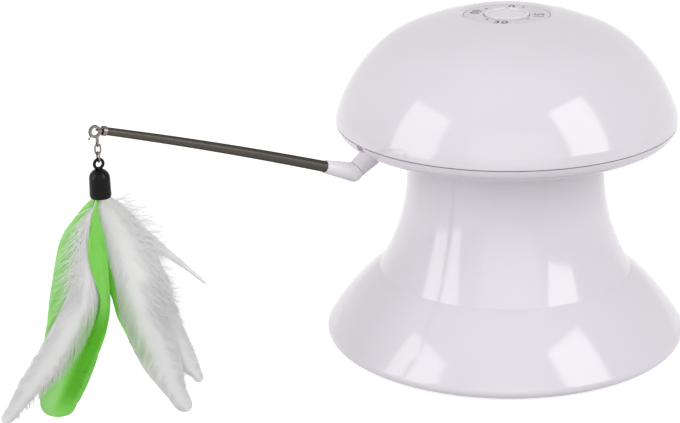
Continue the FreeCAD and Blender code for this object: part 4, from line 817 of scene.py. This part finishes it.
# %% [markdown]
# ## Hairs
# A hair is a flat strip of a few faces that narrows to its tip. Combed barbs follow the vane and end just
# past the sheet, some before it and some behind it, and down hangs loose from the upper part of the shaft.
# Both come from a seeded random generator, so that every run gives the same bunch. Real barbs are 0.05 mm
# wide and couldn't be seen from here, so these are about three times as coarse.

# %% Strips
HAIR_TIP = 0.015  # half the width that a hair keeps at its tip, in millimetres


def strip(points, width, towards):
    """The strip's corners, in order down both edges."""
    left, right_edge = [], []
    for i, point in enumerate(points):
        following = points[min(i + 1, len(points) - 1)] - points[max(i - 1, 0)]
        aside = following.cross(towards).normalized() * (width * (1 - i / (len(points) - 1)) + HAIR_TIP * MM)
        left.append(point + aside)
        right_edge.append(point - aside)
    return [*left, *right_edge]


def lay_hairs(name, hairs, dice):
    """Many strips in one mesh."""
    corners, faces, tones = [], [], []
    for edges in hairs:
        first, count = len(corners), len(edges) // 2
        corners += edges
        tones += [dice.random()] * len(edges)
        for i in range(first, first + count - 1):
            faces.append((i, i + 1, i + count + 1, i + count))
    mesh = bpy.data.meshes.new(name + "_hairs")
    mesh.from_pydata([tuple(c) for c in corners], [], faces)
    piece = bpy.data.objects.new(name + "_hairs", mesh)
    bpy.context.collection.objects.link(piece)
    write_dye(piece, name, tones)
    return piece


sample = strip([Vector((0, 0, i * MM)) for i in range(5)], 0.1 * MM, FRONT)
print("corners of a hair with 5 points:", len(sample))

# %% Combed barbs and down


def combed_barbs(name, shaft, count, seed, camber, fullness, past):
    """Hairs along the vane, from inside the sheet to the outline and a share of the half width past it."""
    dice = random.Random(seed)
    hairs = []
    for _ in range(count):
        hand = dice.choice((-1, 1))
        share = dice.uniform(0.03, 0.985)
        begin = dice.uniform(0.25, 0.8) * sheet_reach(name, fullness, hand, shaft.at(share)[1])
        end = 1.0 + past * dice.uniform(-1.4, 1.0)
        off = dice.choice((-0.22, 0.16, 0.3)) + dice.uniform(-0.08, 0.08)
        drift = dice.uniform(-0.012, 0.02)
        points = []
        for i in range(5):
            out = begin + (end - begin) * i / 4
            spot = barb_spot(shaft, share + drift * i / 4, hand, min(out, 1.0), seed)
            beyond = max(out - 1.0, 0.0) * max(shaft.at(share)[2], 2.0)
            push = shaft.side(barb_end(share)) * (hand * beyond * 0.7)
            depth = sheet_depth(name, spot.y, min(out, 1.0), camber) + off
            points.append(in_fan(spot.x + push.x, spot.y + push.y - beyond * 0.8, depth))
        hairs.append(strip(points, dice.uniform(0.06, 0.11) * MM, FRONT))
    return hairs


def down(name, shaft, count, seed, hand, span, length, slope, width, sag, depth):
    """Loose curved hairs that leave the shaft on one side; slope is in degrees above level."""
    dice = random.Random(seed)
    hairs = []
    for _ in range(count):
        share = dice.uniform(*span)
        across, level, _ = shaft.at(share)
        whole, way = dice.uniform(*length), math.radians(dice.uniform(*slope))
        begin = dice.uniform(0.0, 0.45)
        bend, off = dice.uniform(-0.4, 0.4), sheet_depth(name, level, 0, 0) + dice.uniform(*depth)
        points = []
        for i in range(6):
            part = begin + (1 - begin) * i / 5
            go = whole * part
            turn = way + bend * part
            points.append(
                in_fan(
                    across + hand * go * math.cos(turn),
                    level + go * math.sin(turn) - sag * part**2,
                    off + 0.5 * part + dice.uniform(-0.12, 0.12),
                )
            )
        hairs.append(strip(points, dice.uniform(0.6, 1.2) * width * MM, FRONT))
    return hairs


tip = barb_spot(shaft, 0.5, 1, 1.0, 31)
print("that barb's tip, across and up:", [round(n, 1) for n in tip], "mm")

# %% [markdown]
# ## Feather finishes
# A dyed or bleached goose feather is matt with a silky edge. The barbs are drawn as fine streaks along the
# UV map, about a millimetre apart, which is coarser than real, so that they show. The dye attribute chooses
# the colour, and the tone attribute tells one hair from the next. On the white feathers the tone also carries
# painted light, lighter towards the top where they lie in shade.

# %% Feather material


def feather_finish(name, stops):
    """stops are the colours for dye 0, 0.5 and 1."""
    material, tree, shader = finish_named(name)
    chart = node(tree, "ShaderNodeTexCoord")
    stretch = node(tree, "ShaderNodeMapping", {"Vector": chart.outputs["UV"], "Scale": (1.4, 110.0, 1.0)})
    streak = node(tree, "ShaderNodeTexNoise", {"Vector": stretch.outputs[0], "Scale": 1.0, "Detail": 3.0})
    dye = node(tree, "ShaderNodeAttribute", attribute_name="dye")
    tone = node(tree, "ShaderNodeAttribute", attribute_name="tone")
    uneven = node(
        tree,
        "ShaderNodeMapRange",
        {"Value": streak.outputs["Fac"], "From Min": 0.3, "From Max": 0.7, "To Min": 0.92, "To Max": 1.08},
    )
    taken = node(tree, "ShaderNodeMath", {0: uneven.outputs[0], 1: dye.outputs["Fac"]}, operation="MULTIPLY")
    bath = node(tree, "ShaderNodeValToRGB", {"Fac": taken.outputs[0]})
    bath.color_ramp.elements[0].color = linear(stops[0])
    bath.color_ramp.elements[1].color = linear(stops[2])
    bath.color_ramp.elements.new(0.5).color = linear(stops[1])
    # The tone sets the lightness. On the white feathers it also carries painted light, lighter towards the
    # top.
    bright = node(
        tree,
        "ShaderNodeMapRange",
        {"Value": tone.outputs["Fac"], "From Min": 0.0, "From Max": 1.0, "To Min": 0.9, "To Max": 1.08},
    )
    dyed = node(tree, "ShaderNodeHueSaturation", {"Color": bath.outputs[0], "Value": bright.outputs[0]})
    tree.links.new(dyed.outputs[0], shader.inputs["Base Color"])
    ridge = node(
        tree, "ShaderNodeBump", {"Height": streak.outputs["Fac"], "Distance": 0.05 * MM, "Strength": 0.5}
    )
    tree.links.new(ridge.outputs[0], shader.inputs["Normal"])
    shader.inputs["Roughness"].default_value = 0.65
    shader.inputs["Sheen Weight"].default_value = 0.05
    shader.inputs["Sheen Roughness"].default_value = 0.5
    shader.inputs["Specular IOR Level"].default_value = 0.15
    return material


GREEN = feather_finish("dyed_goose_green", ("#C6EBB2", "#8ADC62", "#5CB828"))
WHITE = feather_finish("bleached_goose_white", ("#F1F0F0", "#A9D88F", "#6DBF46"))
print("feather finishes:", GREEN.name, "and", WHITE.name)

# %% [markdown]
# ## The bunch
# The six feathers are made alike and differ only in numbers, so one table plans them and one loop makes them.
# The green ones keep nearly all their barbs hooked, so they are smooth ribbons. The white ones are combed
# open, with hundreds of loose barbs, and three of them carry down.

# %% The bunch's plan
# name: seed, camber, sheet's reach left and right, combed barbs, how far they stand past the outline
BUNCH = {
    "green_feather_centre": (11, 0.3, (0.99, 0.99), 50, 0.01),
    "white_feather_left": (23, 0.3, (0.9, 0.62), 1100, 0.05),
    "green_feather_outer": (31, 1.0, (0.99, 0.99), 130, 0.005),
    "white_feather_right": (47, 1.0, (1.0, 0.86), 1100, 0.05),
    "white_feather_back": (59, 1.0, (0.9, 0.8), 900, 0.2),
    "white_feather_spike": (67, 0.5, (0.85, 0.85), 260, 0.08),
}
# name: patches of down, each with its count, seed and side, the span of the shaft, the shortest and longest
# hair, the slope in degrees, the width, the sag, and how far behind and in front of the sheet it hangs
FLUFF = {
    "white_feather_left": [(430, 5, -1, (0.03, 0.4), (8, 18), (-68, -34), 0.075, 1.5, (-0.5, 0.9))],
    "white_feather_right": [
        (380, 6, 1, (0.01, 0.3), (13, 25), (-40, 26), 0.05, 3.0, (-1.0, 1.2)),
        (160, 8, 1, (0.36, 0.52), (14, 19), (-58, -16), 0.07, 3.0, (-1.0, 1.2)),
    ],
    "white_feather_back": [
        (200, 7, 1, (0.03, 0.62), (6, 13), (-55, 20), 0.05, 3.0, (-1.0, 1.2)),
        (130, 9, 1, (0.36, 0.55), (9, 13), (-42, -2), 0.075, 1.0, (-1.0, 1.2)),
    ],
}
# A narrow green blade lies against the right white feather and is glued to its shaft.
SLIVER = (
    [(0.4, 84, 0.1), (0.7, 79, 0.3), (1.4, 70, 0.7), (2.0, 65, 1.0), (2.3, 60.5, 1.2)]
    + [(2.9, 56.9, 0.8), (4.0, 49.5, 0.45), (6.2, 43.6, 0.25), (7.6, 40.2, 0.0)]
)
print("combed barbs in the bunch:", sum(plan[3] for plan in BUNCH.values()))
print("hairs of down:", sum(patch[0] for patches in FLUFF.values() for patch in patches))

# %% Make the bunch
for name, (seed, camber, fullness, count, past) in BUNCH.items():
    shaft = Shaft(FEATHERS[name][1])
    hairs = combed_barbs(name, shaft, count, seed, camber, fullness, past)
    for patch in FLUFF.get(name, []):
        hairs += down(name, shaft, *patch)
    pieces = [lay_sheet(name, shaft, seed, camber, fullness), lay_quill(name, shaft)]
    if name == "white_feather_right":
        pieces.append(lay_sheet("green_sliver", Shaft(SLIVER, rooted=False), 5, 0.2, (1.0, 1.0)))
    pieces.append(lay_hairs(name, hairs, random.Random(seed + 1)))
    for piece in pieces:
        piece.data.materials.clear()
        bleached = name.startswith("white") and "sliver" not in piece.name
        piece.data.materials.append(WHITE if bleached else GREEN)
    bpy.ops.object.select_all(action="DESELECT")
    for piece in pieces:
        piece.select_set(True)
    bpy.context.view_layer.objects.active = pieces[0]
    bpy.ops.object.join()
    pieces[0].name = "detailed_" + name
    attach(pieces[0], "charm")
    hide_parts(name)
    print(name, "-", len(hairs), "hairs,", len(pieces[0].data.polygons), "faces")

# %% [markdown]
# ## The dial's marks
# Four settings are pad-printed in dark grey on the dial's disc, each with a dot. Pad ink is matt and covers
# a little unevenly. Text is made as a curve, thickened a little because ink spreads, turned into a mesh, and
# laid just above the disc with its foot outwards.

# %% Print the dial
ink, tree, shader = finish_named("grey_pad_ink")
place = node(tree, "ShaderNodeTexCoord")
SPECK = 0.4  # millimetres, the unevenness of the ink
specks = node(tree, "ShaderNodeTexNoise", {"Vector": place.outputs["Object"], "Scale": 1 / (SPECK * MM)})
cover = node(
    tree,
    "ShaderNodeMapRange",
    {"Value": specks.outputs["Fac"], "From Min": 0.3, "From Max": 0.7, "To Min": 0.9, "To Max": 1.1},
)
tone = node(tree, "ShaderNodeHueSaturation", {"Color": linear("#4A4650"), "Value": cover.outputs[0]})
tree.links.new(tone.outputs[0], shader.inputs["Base Color"])
shader.inputs["Roughness"].default_value = 0.5

DIAL_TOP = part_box("dial_plate")[1].z / MM
LETTER, DOT, LIFT = 6.0, 0.65, 0.015
# Each label's azimuth and radius, then its dot's
PRINTS = (
    ("0", 82, 14.9, 62, 15.2),
    ("15", -5, 14.0, -40, 11.8),
    ("30", 259, 13.7, 225, 11.9),
    ("60", 161, 14.3, 131, 13.6),
)


def on_dial(azimuth, reach):
    """A place just above the disc."""
    turn = math.radians(azimuth)
    return Vector((reach * math.cos(turn), reach * math.sin(turn), DIAL_TOP + LIFT)) * MM


marks = []
for label, azimuth, reach, dot_azimuth, dot_reach in PRINTS:
    bpy.ops.object.text_add()
    text = bpy.context.object
    text.data.body = label
    text.data.size = LETTER * MM
    text.data.space_character = 1.15
    text.data.offset = 0.08 * MM
    text.data.align_x = "CENTER"
    text.data.align_y = "CENTER"
    text.data.extrude = 0.01 * MM
    bpy.ops.object.convert(target="MESH")
    text = bpy.context.object
    spin = Matrix.Rotation(math.radians(azimuth) + math.pi / 2, 4, "Z")
    text.data.transform(Matrix.Translation(on_dial(azimuth, reach)) @ spin)
    marks.append(text)
    bpy.ops.mesh.primitive_cylinder_add(vertices=20, radius=DOT * MM, depth=2 * LIFT * MM)
    dot = bpy.context.object
    dot.data.transform(Matrix.Translation(on_dial(dot_azimuth, dot_reach)))
    marks.append(dot)
for mark in marks:
    mark.matrix_world = Matrix.Identity(4)
    mark.data.materials.clear()
    mark.data.materials.append(ink)
bpy.ops.object.select_all(action="DESELECT")
for mark in marks:
    mark.select_set(True)
bpy.context.view_layer.objects.active = marks[0]
bpy.ops.object.join()
marks[0].name = "dial_marks"
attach(marks[0], "head")
print("marks on the dial:", len(marks))

# %% [markdown]
# ## Colours as written
# The render keeps its colours as they are written. Single hairs stand about a millimetre out of the fan.

# %% Finish
bpy.context.scene.view_settings.view_transform = "Standard"
